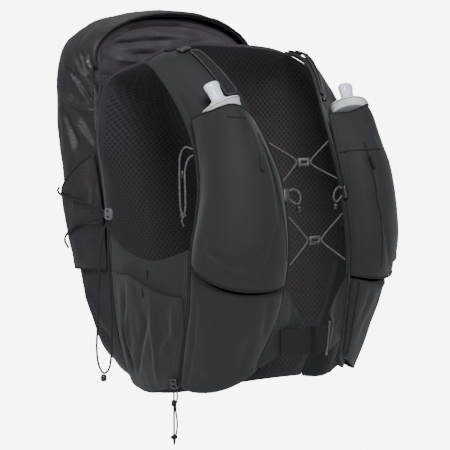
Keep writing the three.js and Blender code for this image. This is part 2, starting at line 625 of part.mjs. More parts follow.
// Lace hooks
plate('lace_hook_upper', vec(0, -97.5, -107), vec(0, -1, 0), vec(0, 0, 1), 17, 9, 2.6, [[0, 0, 9, 3]], 'steel');
plate('lace_hook_lower', vec(0, -115, -189), vec(0, -1, 0), vec(0, 0, 1), 17, 9, 2.6, [[0, 0, 9, 3]], 'steel');

// Waist strap, its bar, and the cloth gussets that carry them
const strapPoint = (a, b) => vec(mix(STRAP_RIGHT_X, STRAP_LEFT_X, a) - 3.4 * b * a,
  STRAP_Y + 4 * (1 - a) ** 2 - 2 * Math.sin(Math.PI * a), STRAP_TOP_Z - STRAP_HEIGHT * b);
sheet('waist_strap', { point: strapPoint, normal: () => vec(0, -1, 0) }, range(8), range(3),
  (a, b) => [a, b], () => 0, () => 2.2, 'webbing');
cord('waist_bar', [vec(...BAR_TOP), vec(...BAR_TOP).lerp(vec(...BAR_FOOT), 0.5), vec(...BAR_FOOT)],
  BAR_DIA, 1, 'steel');

// Gusset edges toward the middle, a row per height: share, x, y, z
const GUSSET_RIGHT = [[0, -43.5, -117.5, -233], [0.2, -26, -109, -254], [0.4, -5, -103, -277],
  [0.6, -22, -99.8, -292], [0.8, -34, -98.4, -309], [1, -55.5, -93, -320.5]];
const GUSSET_LEFT = [[0, 43.5, -117.5, -233], [0.25, 33, -111.5, -253], [0.5, 27.5, -108.5, -269],
  [0.65, 33.5, -106.5, -280], [0.8, 32.5, -105.5, -290], [1, 30.2, -104, -313]];
function gusset(name, side, edge, low) {
  const surface = (a, b) => {
    const outer = frontPoint(side, 0, mix(3.95, low, b)).add(vec(-side * 1, 1.5, 0));
    const k = edge.findIndex((row) => row[0] >= b - 1e-9);
    const [p, q] = [edge[Math.max(0, k - 1)], edge[k]];
    const t = q[0] > p[0] ? (b - p[0]) / (q[0] - p[0]) : 0;
    const inner = vec(mix(p[1], q[1], t), mix(p[2], q[2], t), mix(p[3], q[3], t));
    const point = outer.lerp(inner, a);
    point.y += 3 * Math.sin(Math.PI * a) * Math.sin(Math.PI * b);
    return point;
  };
  sheet(name, { point: surface, normal: () => vec(0, -1, 0) }, range(6), edge.map((row) => row[0]),
    (a, b) => [a, b], () => 0, () => 1.5, 'stretch');
}
gusset('waist_gusset_right', -1, GUSSET_RIGHT, 0.25);
gusset('waist_gusset_left', 1, GUSSET_LEFT, 1.2);

// Long hanging end of the compression cord on the wearer's right
const LOOP_POINTS = [[-134, 74.5, -173.4], [-138, 76, -185], [-141, 78, -205], [-142, 80, -250], [-142, 83, -290],
  [-142, 85, -318], [-142, 81, -335], [-142, 72, -342], [-142, 62, -336], [-142, 57, -318],
  [-142, 56, -290], [-142, 58, -250], [-141, 63, -205], [-138, 67, -185], [-134, 69.5, -173.4]];
cord('side_loop_right', LOOP_POINTS.map((p) => vec(...p)), LOOP_DIA, 3, 'darkCord');
bead('side_bead_right', vec(-142, 72, -347.6), vec(0, 0, 1), 3.4, 8);

// Small cord loop at the armhole on the wearer's right
const POLE_POINTS = [[-119.5, -58.8, -92], [-124.5, -52, -90], [-126, -46, -98], [-126.5, -45, -112],
  [-126.5, -45.5, -140], [-126.1, -47, -156], [-125.5, -49.5, -160], [-124.9, -52, -156],
  [-124.7, -52.5, -140], [-124.5, -52, -112], [-122.5, -56, -101], [-120.2, -59.8, -98]];
cord('pole_cord_right', POLE_POINTS.map((p) => vec(...p)), THIN_CORD_DIA, 2);
bead('pole_stopper_right', vec(-125.6, -48.7, -118), vec(0, 0, 1), 1.7, 8);

// Hem cord on the wearer's right
const hemSeat = standOff(wing(-1), 0.03, 0.94, PANEL_WALL + 6.5);
plate('hem_buckle_right', hemSeat, wing(-1).normal(0.05, 0.93), vec(0, 0, 1), 9, 12, 3.4,
  [[0, 2.6, 5, 1.6], [0, -2.6, 5, 1.6]], 'plastic');
const below = (dx, dz) => hemSeat.clone().add(vec(-0.6 * dx, -0.8 * dx, dz));
cord('hem_cord_right', [below(3, -6.5), below(2.4, -16), below(0.6, -24), below(-0.2, -45), below(0.4, -66)],
  THIN_CORD_DIA, 4);
bead('hem_bead_right', below(-3.6, -22), vec(0, 0, 1), 2.8, 7);

export default parts;
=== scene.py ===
"""A running hydration vest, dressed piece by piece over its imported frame."""

import logging
import math
from dataclasses import dataclass, field
from enum import Enum
from typing import Sequence

import bmesh
import bpy
from mathutils import Matrix, Vector, noise
from mathutils.bvhtree import BVHTree
from mathutils.kdtree import KDTree


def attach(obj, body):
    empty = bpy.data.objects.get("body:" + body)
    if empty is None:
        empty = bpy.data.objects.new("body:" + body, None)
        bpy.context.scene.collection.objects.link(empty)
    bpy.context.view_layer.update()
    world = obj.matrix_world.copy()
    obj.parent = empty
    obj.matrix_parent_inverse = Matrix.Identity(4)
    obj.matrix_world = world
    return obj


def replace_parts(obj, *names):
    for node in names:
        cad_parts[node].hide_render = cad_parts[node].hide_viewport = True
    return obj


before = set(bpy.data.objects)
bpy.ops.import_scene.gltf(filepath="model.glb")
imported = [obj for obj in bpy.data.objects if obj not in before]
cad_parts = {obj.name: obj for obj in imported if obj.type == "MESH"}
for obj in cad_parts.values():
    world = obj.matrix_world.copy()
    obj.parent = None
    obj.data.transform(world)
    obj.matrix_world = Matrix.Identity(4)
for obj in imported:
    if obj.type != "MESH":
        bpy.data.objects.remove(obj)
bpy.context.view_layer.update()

log = logging.getLogger("vest")
MM = 0.001
SIDES = ("right", "left")
Colour = tuple[float, float, float]
Point = tuple[float, float, float]


def tint(red: float, green: float, blue: float) -> Colour:
    """A screen colour from 0 to 255 as linear light.

    Args:
        red: Red as seen on a screen.
        green: Green as seen on a screen.
        blue: Blue as seen on a screen.

    Returns:
        The three linear values.
    """
    return tuple(((c / 255 + 0.055) / 1.055) ** 2.4 if c > 10 else c / 255 / 12.92 for c in (red, green, blue))


def mirrored(points: Sequence[Point], side: str) -> list[Point]:
    """The same points, or their mirror image for the wearer's left."""
    return [(x if side == "right" else -x, y, z) for x, y, z in points]


# Shader building


class Flow:
    """A number on a shader socket that takes part in Python arithmetic."""

    def __init__(self, look: "Look", socket: bpy.types.NodeSocket) -> None:
        """Keeps the socket and the look that it belongs to."""
        self.look = look
        self.socket = socket

    def _math(self, operation: str, *values: "Flow | float") -> "Flow":
        """Adds one Math node and returns its output."""
        return self.look.node("ShaderNodeMath", {"operation": operation}, dict(enumerate(values)))

    def __add__(self, other: "Flow | float") -> "Flow":
        """Sum."""
        return self._math("ADD", self, other)

    def __radd__(self, other: "Flow | float") -> "Flow":
        """Sum, reflected."""
        return self._math("ADD", other, self)

    def __sub__(self, other: "Flow | float") -> "Flow":
        """Difference."""
        return self._math("SUBTRACT", self, other)

    def __rsub__(self, other: "Flow | float") -> "Flow":
        """Difference, reflected."""
        return self._math("SUBTRACT", other, self)

    def __mul__(self, other: "Flow | float") -> "Flow":
        """Product."""
        return self._math("MULTIPLY", self, other)

    def __rmul__(self, other: "Flow | float") -> "Flow":
        """Product, reflected."""
        return self._math("MULTIPLY", other, self)

    def sine(self) -> "Flow":
        """Sine of the value."""
        return self._math("SINE", self)

    def size(self) -> "Flow":
        """The value without its sign."""
        return self._math("ABSOLUTE", self)

    def step(self, low: float, high: float) -> "Flow":
        """A smooth rise from 0 at low to 1 at high."""
        settings = {"interpolation_type": "SMOOTHSTEP"}
        return self.look.node("ShaderNodeMapRange", settings, {"Value": self, "From Min": low, "From Max": high})

    def near(self, middle: float, width: float) -> "Flow":
        """1 at the middle value, falling to 0 at a width from it."""
        return 1 - (self - middle).size().step(width * 0.4, width)


class Look:
    """One material under construction."""

    def __init__(self, name: str) -> None:
        """Starts a material with its Principled shader."""
        self.material = bpy.data.materials.new(name)
        self.material.use_nodes = True
        self.tree = self.material.node_tree
        self.shader = self.tree.nodes["Principled BSDF"]
        self.coordinates = self.raw("ShaderNodeTexCoord", {}, {}).outputs["Object"]
        split = self.raw("ShaderNodeSeparateXYZ", {}, {0: self.coordinates})
        self.x, self.y, self.z = (Flow(self, socket) for socket in split.outputs)

    def raw(self, kind: str, settings: dict, inputs: dict) -> bpy.types.Node:
        """Adds a node.

        Args:
            kind: The node's type.
            settings: Its own settings, set first.
            inputs: Values, sockets or flows by input name or number.

        Returns:
            The node.
        """
        node = self.tree.nodes.new(kind)
        for key, value in settings.items():
            setattr(node, key, value)
        for key, value in inputs.items():
            socket = value.socket if isinstance(value, Flow) else value
            if isinstance(socket, bpy.types.NodeSocket):
                self.tree.links.new(socket, node.inputs[key])
            else:
                node.inputs[key].default_value = socket
        return node

    def node(self, kind: str, settings: dict, inputs: dict, output: str | int = 0) -> Flow:
        """Adds a node and returns one of its outputs as a flow."""
        return Flow(self, self.raw(kind, settings, inputs).outputs[output])

    def noise(self, scale: float, detail: float = 3.0, stretch: Point = (1, 1, 1), rough: float = 0.5) -> Flow:
        """Cloudy values about 0.5, at a scale in features per metre."""
        mapped = self.raw("ShaderNodeMapping", {}, {"Vector": self.coordinates, "Scale": stretch}).outputs[0]
        inputs = {"Vector": mapped, "Scale": scale, "Detail": detail, "Roughness": rough}
        return self.node("ShaderNodeTexNoise", {}, inputs)

    def unrolled(self) -> Flow:
        """Distance round the body, which keeps growing past its corners."""
        return self.y - self.x.size()

    def ridges(self, along: Flow, pitch: float) -> Flow:
        """A wave from -1 to 1 that repeats every pitch metres."""
        return (along * (2 * math.pi / pitch)).sine()

    def attribute(self, name: str) -> Flow:
        """A number stored on the piece's points."""
        return self.node("ShaderNodeAttribute", {"attribute_name": name}, {}, "Fac")

    def blend(self, factor: Flow, low: Colour | bpy.types.NodeSocket, high: Colour) -> bpy.types.NodeSocket:
        """A colour between two colours."""
        low, high = ((*c, 1) if isinstance(c, tuple) else c for c in (low, high))
        node = self.raw("ShaderNodeMix", {"data_type": "RGBA"}, {0: factor, 6: low, 7: high})
        return node.outputs[2]

    def relief(self, height: Flow, distance: float, strength: float = 1.0) -> None:
        """Feeds a bump to the shader, its distance in metres."""
        bump = self.raw("ShaderNodeBump", {}, {"Height": height, "Distance": distance, "Strength": strength})
        self.tree.links.new(bump.outputs[0], self.shader.inputs["Normal"])

    def surface(self, colour: bpy.types.NodeSocket, roughness: Flow | float, **fixed: float) -> bpy.types.Material:
        """Connects the colour and roughness, and sets the uniform values."""
        self.tree.links.new(colour, self.shader.inputs["Base Color"])
        if isinstance(roughness, Flow):
            self.tree.links.new(roughness.socket, self.shader.inputs["Roughness"])
        else:
            self.shader.inputs["Roughness"].default_value = roughness
        for name, value in fixed.items():
            self.shader.inputs[name.replace("_", " ").title().replace("Ior", "IOR")].default_value = value
        return self.material


@dataclass(frozen=True)
class Finish:
    """A finish of the vest: its name, record slot and colour."""

    name: str
    slot: str
    colour: Colour

    def lighter(self, share: float) -> Colour:
        """The colour made brighter or darker by a share."""
        return tuple(min(1.0, c * share) for c in self.colour)

    def material(self) -> bpy.types.Material:
        """The finish's material, made on its first use."""
        return bpy.data.materials.get(self.name) or self.make(Look(self.name))

    def make(self, look: Look) -> bpy.types.Material:
        """Builds the nodes; each kind of finish has its own."""
        raise NotImplementedError


@dataclass(frozen=True)
class Knit(Finish):
    """Matt four-way stretch knit with a stitched hem."""

    hem: float = 0.0052
    stitch: float = 0.0036

    def make(self, look: Look) -> bpy.types.Material:
        """Heathered yarn, fine ribs, a painted highlight along the raised hem and its stitch line."""
        yarn = look.noise(900, 2)
        patch = look.noise(16, 3)
        ribs = look.ridges(look.z, 0.0021) * look.ridges(look.unrolled(), 0.0017)
        edge = look.attribute("edge")
        hem = 1 - edge.step(self.hem, self.hem + 0.0006)
        dashes = look.ridges(look.x + look.y + look.z, 0.0034).step(-0.3, 0.1)
        stitches = edge.near(self.stitch, 0.0008) * dashes
        colour = look.blend(yarn.step(0.3, 0.7), self.lighter(0.6), self.lighter(1.4))
        colour = look.blend(patch.step(0.35, 0.75) * 0.5, colour, self.lighter(1.3))
        # Painted highlight: the raised hem band is drawn lighter than the knit.
        colour = look.blend(hem * 0.3, colour, self.lighter(1.35))
        colour = look.blend(stitches * 0.7, colour, self.lighter(0.35))
        height = ribs * 0.12 + yarn * 0.5 + hem * 0.8 - stitches * 1.2
        look.relief(height, 0.0006, 0.6)
        return look.surface(colour, yarn * 0.16 + 0.68, specular_ior_level=0.22, sheen_weight=0.06)


@dataclass(frozen=True)
class Ripstop(Finish):
    """Thin glossy woven nylon with a reinforcing grid and crinkles."""

    pitch: float = 0.0046

    def make(self, look: Look) -> bpy.types.Material:
        """Grid of thicker threads over crinkled, shiny cloth."""
        across = (look.unrolled() * (math.pi / self.pitch)).sine().size()
        down = (look.z * (math.pi / self.pitch)).sine().size()
        grid = 1 - across.step(0.06, 0.2) * down.step(0.06, 0.2)
        settings = {"noise_type": "RIDGED_MULTIFRACTAL"}
        inputs = {"Vector": look.coordinates, "Scale": 26.0, "Detail": 3.0, "Roughness": 0.45}
        crinkle = look.node("ShaderNodeTexNoise", settings, inputs)
        cloud = look.noise(34, 4)
        weave = look.noise(1400, 1)
        edge = look.attribute("edge")
        stitches = edge.near(0.004, 0.0008) * look.ridges(look.x + look.y + look.z, 0.0034).step(-0.3, 0.1)
        colour = look.blend(cloud.step(0.3, 0.7), self.lighter(0.78), self.lighter(1.2))
        colour = look.blend(grid * 0.35, colour, self.lighter(1.75))
        colour = look.blend(stitches * 0.6, colour, self.lighter(0.3))
        height = grid * 0.12 + crinkle * 0.7 + cloud * 0.1 + weave * 0.05 - stitches * 0.4
        look.relief(height, 0.0018, 0.5)
        return look.surface(colour, cloud * 0.12 + 0.38 + weave * 0.06, specular_ior_level=0.3)


@dataclass(frozen=True)
class SpacerMesh(Finish):
    """Perforated spacer mesh with rows of offset diamond dimples."""

    across: float = 0.0078
    down: float = 0.007

    def make(self, look: Look) -> bpy.types.Material:
        """Diamond lattice of raised threads round hollows darkened with painted shade."""
        one = look.unrolled() * (math.pi / self.across)
        two = look.z * (math.pi / self.down)
        lattice = (one + two).sine() * (one - two).sine()
        hollow = lattice.size().step(0.34, 0.6)
        yarn = look.noise(1100, 2)
        patch = look.noise(9, 2)
        edge = look.attribute("edge")
        hem = 1 - edge.step(0.0085, 0.0092)
        stitches = edge.near(0.0072, 0.0008) * look.ridges(look.x + look.y, 0.0034).step(-0.3, 0.1)
        shaded_hollows = hollow * (1 - hem)
        colour = look.blend(yarn.step(0.3, 0.7), self.lighter(0.9), self.lighter(1.4))
        # Painted shade: the recessed hollows are drawn far darker than the threads.
        colour = look.blend(shaded_hollows, colour, self.lighter(0.42))
        colour = look.blend(patch.step(0.4, 0.8) * 0.25, colour, self.lighter(1.7))
        colour = look.blend(stitches * 0.7, colour, self.lighter(0.3))
        look.relief((1 - shaded_hollows) * 1.0 + yarn * 0.2 - stitches * 0.5, 0.0011, 0.8)
        return look.surface(colour, yarn * 0.2 + 0.6, specular_ior_level=0.2, sheen_weight=0.03)


@dataclass(frozen=True)
class Webbing(Finish):
    """Flat woven tape with ribs across it and firm edges."""

    band: tuple[float, float] = (9.0, 0.001)

    def make(self, look: Look) -> bpy.types.Material:
        """Ribs of weft, darker woven bands and a painted highlight on the raised selvedges."""
        ribs = look.ridges(look.z + look.y * 0.6, 0.0016)
        yarn = look.noise(1000, 2, (1, 1, 3))
        edge = look.attribute("edge")
        selvedge = 1 - edge.step(0.0012, 0.002)
        stripe = look.x.near(*self.band)
        colour = look.blend(yarn.step(0.3, 0.7), self.lighter(0.8), self.lighter(1.25))
        colour = look.blend(ribs.step(0.2, 0.9) * 0.25, colour, self.lighter(1.3))
        # Painted highlight: the raised selvedges are drawn lighter than the tape.
        colour = look.blend(selvedge * 0.45, colour, self.lighter(1.6))
        colour = look.blend(stripe * 0.8, colour, self.lighter(0.35))
        look.relief(ribs * 0.4 + yarn * 0.3 + selvedge * 0.5, 0.0004, 0.8)
        return look.surface(colour, yarn * 0.15 + 0.65, specular_ior_level=0.12)


@dataclass(frozen=True)
class Braid(Finish):
    """Braided round cord with flecks of a second yarn."""

    fleck: float = 1.8

    def make(self, look: Look) -> bpy.types.Material:
        """Crossed strands with lighter flecks."""
        one = look.ridges(look.x + look.y + look.z, 0.0018)
        two = look.ridges(look.x - look.y + look.z * -1, 0.0018)
        strands = one * two
        flecks = look.noise(420, 1).step(0.52, 0.6)
        colour = look.blend(strands.step(-0.5, 0.6), self.lighter(0.6), self.lighter(1.25))
        colour = look.blend(flecks * 0.5, colour, self.lighter(self.fleck))
        look.relief(strands, 0.0004, 0.8)
        return look.surface(colour, 0.72, specular_ior_level=0.25)


@dataclass(frozen=True)
class Moulded(Finish):
    """Injection-moulded plastic or silicone with a fine grain."""

    roughness: float = 0.45
    clear: float = 0.0

    def make(self, look: Look) -> bpy.types.Material:
        """Fine spark texture, faint flow marks and lighter flecks where the grain stands highest."""
        grain = look.noise(1500, 2)
        flow = look.noise(60, 3, (1, 1, 2))
        colour = look.blend(flow.step(0.3, 0.75), self.lighter(0.88), self.lighter(1.08))
        colour = look.blend(grain.step(0.55, 0.8) * 0.2, colour, self.lighter(1.3))
        look.relief(grain * 0.4 + flow * 0.6, 0.0002, 0.5)
        rough = grain * 0.12 + (self.roughness - 0.06)
        return look.surface(colour, rough, transmission_weight=self.clear, ior=1.46, coat_weight=0.1)


@dataclass(frozen=True)
class Steel(Finish):
    """Brushed light alloy."""

    def make(self, look: Look) -> bpy.types.Material:
        """Long fine scratches over bright metal."""
        brushed = look.noise(700, 2, (0.08, 1, 1))
        colour = look.blend(brushed.step(0.3, 0.7), self.lighter(0.8), self.lighter(1.2))
        look.relief(brushed, 0.0001, 0.4)
        return look.surface(colour, brushed * 0.2 + 0.25, metallic=1.0)


PANEL = Knit("slate_stretch", "stretch", tint(13, 15, 19))
POCKET = Knit("pocket_stretch", "pocket", tint(12, 14, 18))
SHELL = Ripstop("charcoal_ripstop", "ripstop", tint(20, 17, 23))
LINING = SpacerMesh("spacer_mesh", "mesh", tint(28, 25, 31))
TAPE = Webbing("dark_webbing", "webbing", tint(20, 19, 22))
WAIST_TAPE = Webbing("waist_webbing", "webbing", tint(19, 18, 20), band=(0.003, 0.0055))
EDGING = Braid("edge_binding", "stretch", tint(24, 25, 28))
LIFTER_EDGE = Braid("lifter_edge", "webbing", tint(50, 47, 50))
# The bag's front wall uses a lighter copy of the shell's ripstop; the extra lightness is painted highlight.
LID_PAINTED_LIGHTER = Ripstop("lid_ripstop_painted_lighter", "ripstop", tint(40, 36, 42))
SEAM = Braid("seam_thread", "stretch", tint(5, 5, 6))
CORD = Braid("grey_cord", "cord", tint(68, 65, 67))
BLACK_CORD = Braid("black_cord", "dark_cord", tint(17, 16, 19))
BEAD = Moulded("black_bead", "dark_cord", tint(13, 13, 14))
PLASTIC = Moulded("dark_plastic", "plastic", tint(16, 16, 18))
PALE_PLASTIC = Moulded("pale_plastic", "plastic", tint(62, 62, 68))
METAL = Steel("brushed_metal", "steel", tint(96, 96, 100))
FILM = Moulded("flask_film", "flask", tint(170, 178, 186), 0.3, 0.25)
CAP = Moulded("flask_cap", "cap", tint(163, 170, 169))
# Painted shade: thin dark rings laid on the cap where its grooves hold shade.
GROOVE_SHADE = Moulded("cap_groove_shade", "cap", tint(74, 78, 79))
VALVE = Moulded("bite_valve", "valve", tint(196, 207, 224), 0.25, 0.3)


# Making pieces


def make_object(name: str, mesh: bpy.types.ID, finish: Finish) -> bpy.types.Object:
    """Links a mesh or curve as a piece of the vest.

    Args:
        name: The piece's name.
        mesh: Its mesh or curve, already in place.
        finish: Its finish.

    Returns:
        The object, at the origin.
    """
    piece = bpy.data.objects.new(name, mesh)
    bpy.context.scene.collection.objects.link(piece)
    mesh.materials.clear()
    mesh.materials.append(finish.material())
    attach(piece, "root")
    return piece


def from_bmesh(name: str, shape: bmesh.types.BMesh, finish: Finish) -> bpy.types.Object:
    """Turns a bmesh into a smooth-shaded piece."""
    bmesh.ops.recalc_face_normals(shape, faces=shape.faces)
    mesh = bpy.data.meshes.new(name)
    shape.to_mesh(mesh)
    shape.free()
    mesh.shade_smooth()
    return make_object(name, mesh, finish)


def smooth_path(points: Sequence[Point], per_span: int = 8, closed: bool = False) -> list[Vector]:
    """A smooth line through chosen points.

    Args:
        points: The chosen points in millimetres.
        per_span: Steps between each two of them.
        closed: Whether the line returns to its start.

    Returns:
        The line's points in metres.
    """
    nodes = [Vector(p) * MM for p in points]
    count = len(nodes)
    if closed:
        nodes = [nodes[-1], *nodes, nodes[0], nodes[1]]
    else:
        nodes = [nodes[0] * 2 - nodes[1], *nodes, nodes[-1] * 2 - nodes[-2]]
    line = []
    for i in range(1, count + (1 if closed else 0)):
        p0, p1, p2, p3 = nodes[i - 1 : i + 3]
        t0 = 0.0
        t1 = t0 + max(1e-6, (p1 - p0).length) ** 0.5
        t2 = t1 + max(1e-6, (p2 - p1).length) ** 0.5
        t3 = t2 + max(1e-6, (p3 - p2).length) ** 0.5
        for k in range(per_span):
            t = t1 + (t2 - t1) * k / per_span
            a1 = p0.lerp(p1, (t - t0) / (t1 - t0))
            a2 = p1.lerp(p2, (t - t1) / (t2 - t1))
            a3 = p2.lerp(p3, (t - t2) / (t3 - t2))
            b1 = a1.lerp(a2, (t - t0) / (t2 - t0))
            b2 = a2.lerp(a3, (t - t1) / (t3 - t1))
            line.append(b1.lerp(b2, (t - t1) / (t2 - t1)))
    if not closed:
        line.append(nodes[-2].copy())
    return line


def tube(name: str, line: Sequence[Vector], diameter: float, finish: Finish, closed: bool = False) -> bpy.types.Object:
    """A round cord or piping along a line, as a curve piece.

    Args:
        name: The piece's name.
        line: Points in metres.
        diameter: Width in millimetres.
        finish: Its finish.
        closed: Whether it is a ring.

    Returns:
        The piece.
    """
    curve = bpy.data.curves.new(name, "CURVE")
    curve.dimensions = "3D"
    curve.bevel_depth = diameter / 2 * MM
    curve.bevel_resolution = 2
    curve.use_fill_caps = not closed
    spline = curve.splines.new("POLY")
    spline.points.add(len(line) - 1)
    for point, place in zip(spline.points, line):
        point.co = (*place, 1)
    spline.use_cyclic_u = closed
    spline.use_smooth = True
    return make_object(name, curve, finish)


def hardware(node: str, finish: Finish, bevel: float) -> bpy.types.Object:
    """A moulded or metal piece from its solid, with rounded edges.

    Args:
        node: The solid's name.
        finish: Its finish.
        bevel: Width of the rounding in millimetres.

    Returns:
        The piece.
    """
    shape = bmesh.new()
    shape.from_mesh(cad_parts[node].data)
    bmesh.ops.remove_doubles(shape, verts=shape.verts, dist=1e-5)
    bmesh.ops.dissolve_limit(shape, angle_limit=0.05, verts=shape.verts, edges=shape.edges)
    sharp = [e for e in shape.edges if len(e.link_faces) == 2 and e.calc_face_angle() > 0.6]
    bmesh.ops.bevel(shape, geom=sharp, offset=bevel * MM, segments=3, profile=0.5, affect="EDGES", material=-1)
    piece = from_bmesh(node + "_piece", shape, finish)
    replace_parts(piece, node)
    return piece


@dataclass(frozen=True)
class Fold:
    """A ridge or crease through points in millimetres; a negative height sinks."""

    points: tuple[Point, ...]
    width: float
    height: float

    def lift(self, place: Vector, normal: Vector) -> float:
        """How far a place moves outward, in metres, by its distance along the cloth."""
        best, share = 1e9, 0.0
        spans = len(self.points) - 1
        for i in range(spans):
            a, b = Vector(self.points[i]) * MM, Vector(self.points[i + 1]) * MM
            along = b - a
            t = max(0.0, min(1.0, (place - a).dot(along) / along.length_squared))
            apart = place - a - along * t
            if apart.length > 0.025:
                continue
            gap = (apart - normal * apart.dot(normal)).length
            if gap < best:
                best, share = gap, (i + t) / spans
        if best > self.width * 3 * MM:
            return 0.0
        ends = min(1.0, 4 * min(share, 1 - share) + 0.25)
        return self.height * MM * ends * math.exp(-((best / (self.width * MM)) ** 2))


@dataclass(frozen=True)
class Pull:
    """A soft shift of the cloth about one place, in millimetres."""

    at: Point
    radius: float
    by: Point

    def shift(self, place: Vector) -> Vector:
        """How far a place moves, in metres."""
        share = (place - Vector(self.at) * MM).length / (self.radius * MM)
        return Vector(self.by) * (MM * math.exp(-share * share))

    def other_side(self) -> "Pull":
        """The same shift on the wearer's left."""
        at, by = mirrored((self.at, self.by), "left")
        return Pull(at, self.radius, by)


class Outward(Enum):
    """Where a piece's outer side faces away from, in millimetres."""

    BODY = (0, 15)
    BAG = (0, 150)
    FRONT = (0, 1000)

    def direction(self, place: Vector) -> Vector:
        """Roughly outward at a place."""
        x, y = self.value
        low, high = (-0.33, -0.12) if self is Outward.BODY else (-0.25, 0.0)
        return place - Vector((x * MM, y * MM, max(low, min(high, place.z))))


@dataclass
class Cloth:
    """A sewn cloth piece, rounded and folded from its solid."""

    node: str
    finish: Finish
    outward: Outward = Outward.BODY
    levels: int = 3
    crumple: float = 0.5
    spacing: float = 45.0
    stretch: Point = (1.0, 1.0, 1.0)
    folds: Sequence[Fold] = ()
    pulls: Sequence[Pull] = ()
    piping: float = 0.0
    piping_finish: Finish = field(default_factory=lambda: EDGING)
    wall: float = 3.0
    sharp: bool = False
    grow: Point = (1.0, 1.0, 1.0)
    held: str = "stretched"
    piece: bpy.types.Object | None = None

    def rim(self, shape: bmesh.types.BMesh, limit: float = 0.75) -> list[bmesh.types.BMEdge]:
        """The edges where the cloth's faces meet its cut edge, sharper than a limit."""
        return [e for e in shape.edges if len(e.link_faces) == 2 and e.calc_face_angle() > limit]

    def outer_loops(self, shape: bmesh.types.BMesh, rim: Sequence[bmesh.types.BMEdge]) -> list[list[Vector]]:
        """The closed lines round the outer side.

        Args:
            shape: The piece with its quads joined.
            rim: Its sharp edges.

        Returns:
            One list of places for each line, in order.
        """
        walls, seen, sides = set(rim), set(), []
        for first in shape.faces:
            if first in seen:
                continue
            seen.add(first)
            stack, side = [first], []
            while stack:
                face = stack.pop()
                side.append(face)
                around = {g for e in face.edges if e not in walls for g in e.link_faces} - seen
                seen |= around
                stack += around
            sides.append(side)
        sides.sort(key=lambda faces: -sum(f.calc_area() for f in faces))
        outer = max(sides[:2], key=self.facing)
        share = sum(f.calc_area() for f in outer) / sum(f.calc_area() for f in shape.faces)
        if not 0.3 < share < 0.6:
            return []
        border = [e for f in outer for e in f.edges if e in walls]
        next_to: dict = {}
        for edge in border:
            for vert in edge.verts:
                next_to.setdefault(vert, []).append(edge.other_vert(vert))
        loops, used = [], set()
        for start in next_to:
            loop, vert = [], start
            while vert is not None and vert not in used:
                used.add(vert)
                loop.append(vert.co.copy())
                vert = next((v for v in next_to[vert] if v not in used), None)
            if len(loop) > 7 and (loop[0] - loop[-1]).length < 0.02:
                loops.append(loop)
        return loops

    def facing(self, faces: Sequence[bmesh.types.BMFace]) -> float:
        """How far a side of the cloth looks outward."""
        return sum(f.normal.dot(self.outward.direction(f.calc_center_median())) * f.calc_area() for f in faces)

    def build(self) -> "Cloth":
        """Makes the piece and its piping."""
        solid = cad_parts[self.node]
        shape = bmesh.new()
        shape.from_mesh(solid.data)
        bmesh.ops.remove_doubles(shape, verts=shape.verts, dist=1e-5)
        bmesh.ops.join_triangles(
            shape, faces=shape.faces, angle_face_threshold=math.pi, angle_shape_threshold=math.pi
        )
        area = sum(face.calc_area() for face in shape.faces) / 2
        length = max(solid.dimensions)
        crease = shape.edges.layers.float.new("crease_edge")
        rim = self.rim(shape)
        samples = []
        for edge in rim:
            edge[crease] = 0.55
            a, b = (v.co for v in edge.verts)
            count = max(1, int(edge.calc_length() / 0.002))
            samples += [a.lerp(b, k / count) for k in range(count + 1)]
        edge_tree = KDTree(len(samples))
        for k, place in enumerate(samples):
            edge_tree.insert(place, k)
        edge_tree.balance()
        loops = []
        for limit in (0.75, 0.6, 0.5, 0.95, 0.4) if self.piping else ():
            loops = loops or self.outer_loops(shape, self.rim(shape, limit))
        mesh = bpy.data.meshes.new(self.node + "_cage")
        shape.to_mesh(mesh)
        shape.free()
        cage = bpy.data.objects.new(self.node + "_cage", mesh)
        bpy.context.scene.collection.objects.link(cage)
        rounding = cage.modifiers.new("round", "SUBSURF")
        rounding.levels = rounding.render_levels = self.levels
        graph = bpy.context.evaluated_depsgraph_get()
        dense = bpy.data.meshes.new_from_object(cage.evaluated_get(graph))
        bpy.data.objects.remove(cage)
        centre = sum((v.co for v in dense.vertices), Vector()) / len(dense.vertices)
        dense.transform(Matrix.Translation(centre) @ Matrix.Diagonal((*self.grow, 1)) @ Matrix.Translation(-centre))
        self.fold(dense, edge_tree)
        dense.shade_smooth()
        self.piece = make_object(self.node + "_cloth", dense, self.finish)
        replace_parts(self.piece, self.node)
        if self.piping:
            for k, loop in enumerate(loops):
                loop = [sum((pull.shift(p) for pull in self.pulls), p) for p in loop]
                ring = list(zip([loop[-1], *loop], loop, [*loop[1:], loop[0]]))
                line = [p for a, b, c in ring for p in (a.lerp(b, 0.75), (a + b * 6 + c) / 8, b.lerp(c, 0.25))]
                tube(f"{self.node}_binding_{k}", line, self.piping, self.piping_finish, True)
        if self.held:
            flat = (area / 0.8 / length, length)
            log.info("%s: flat %.0f by %.0f mm, %.4f square metres", self.node, *(v / MM for v in flat), area)
        log.info("%s: %d faces, %d loops", self.node, len(dense.polygons), len(loops))
        return self

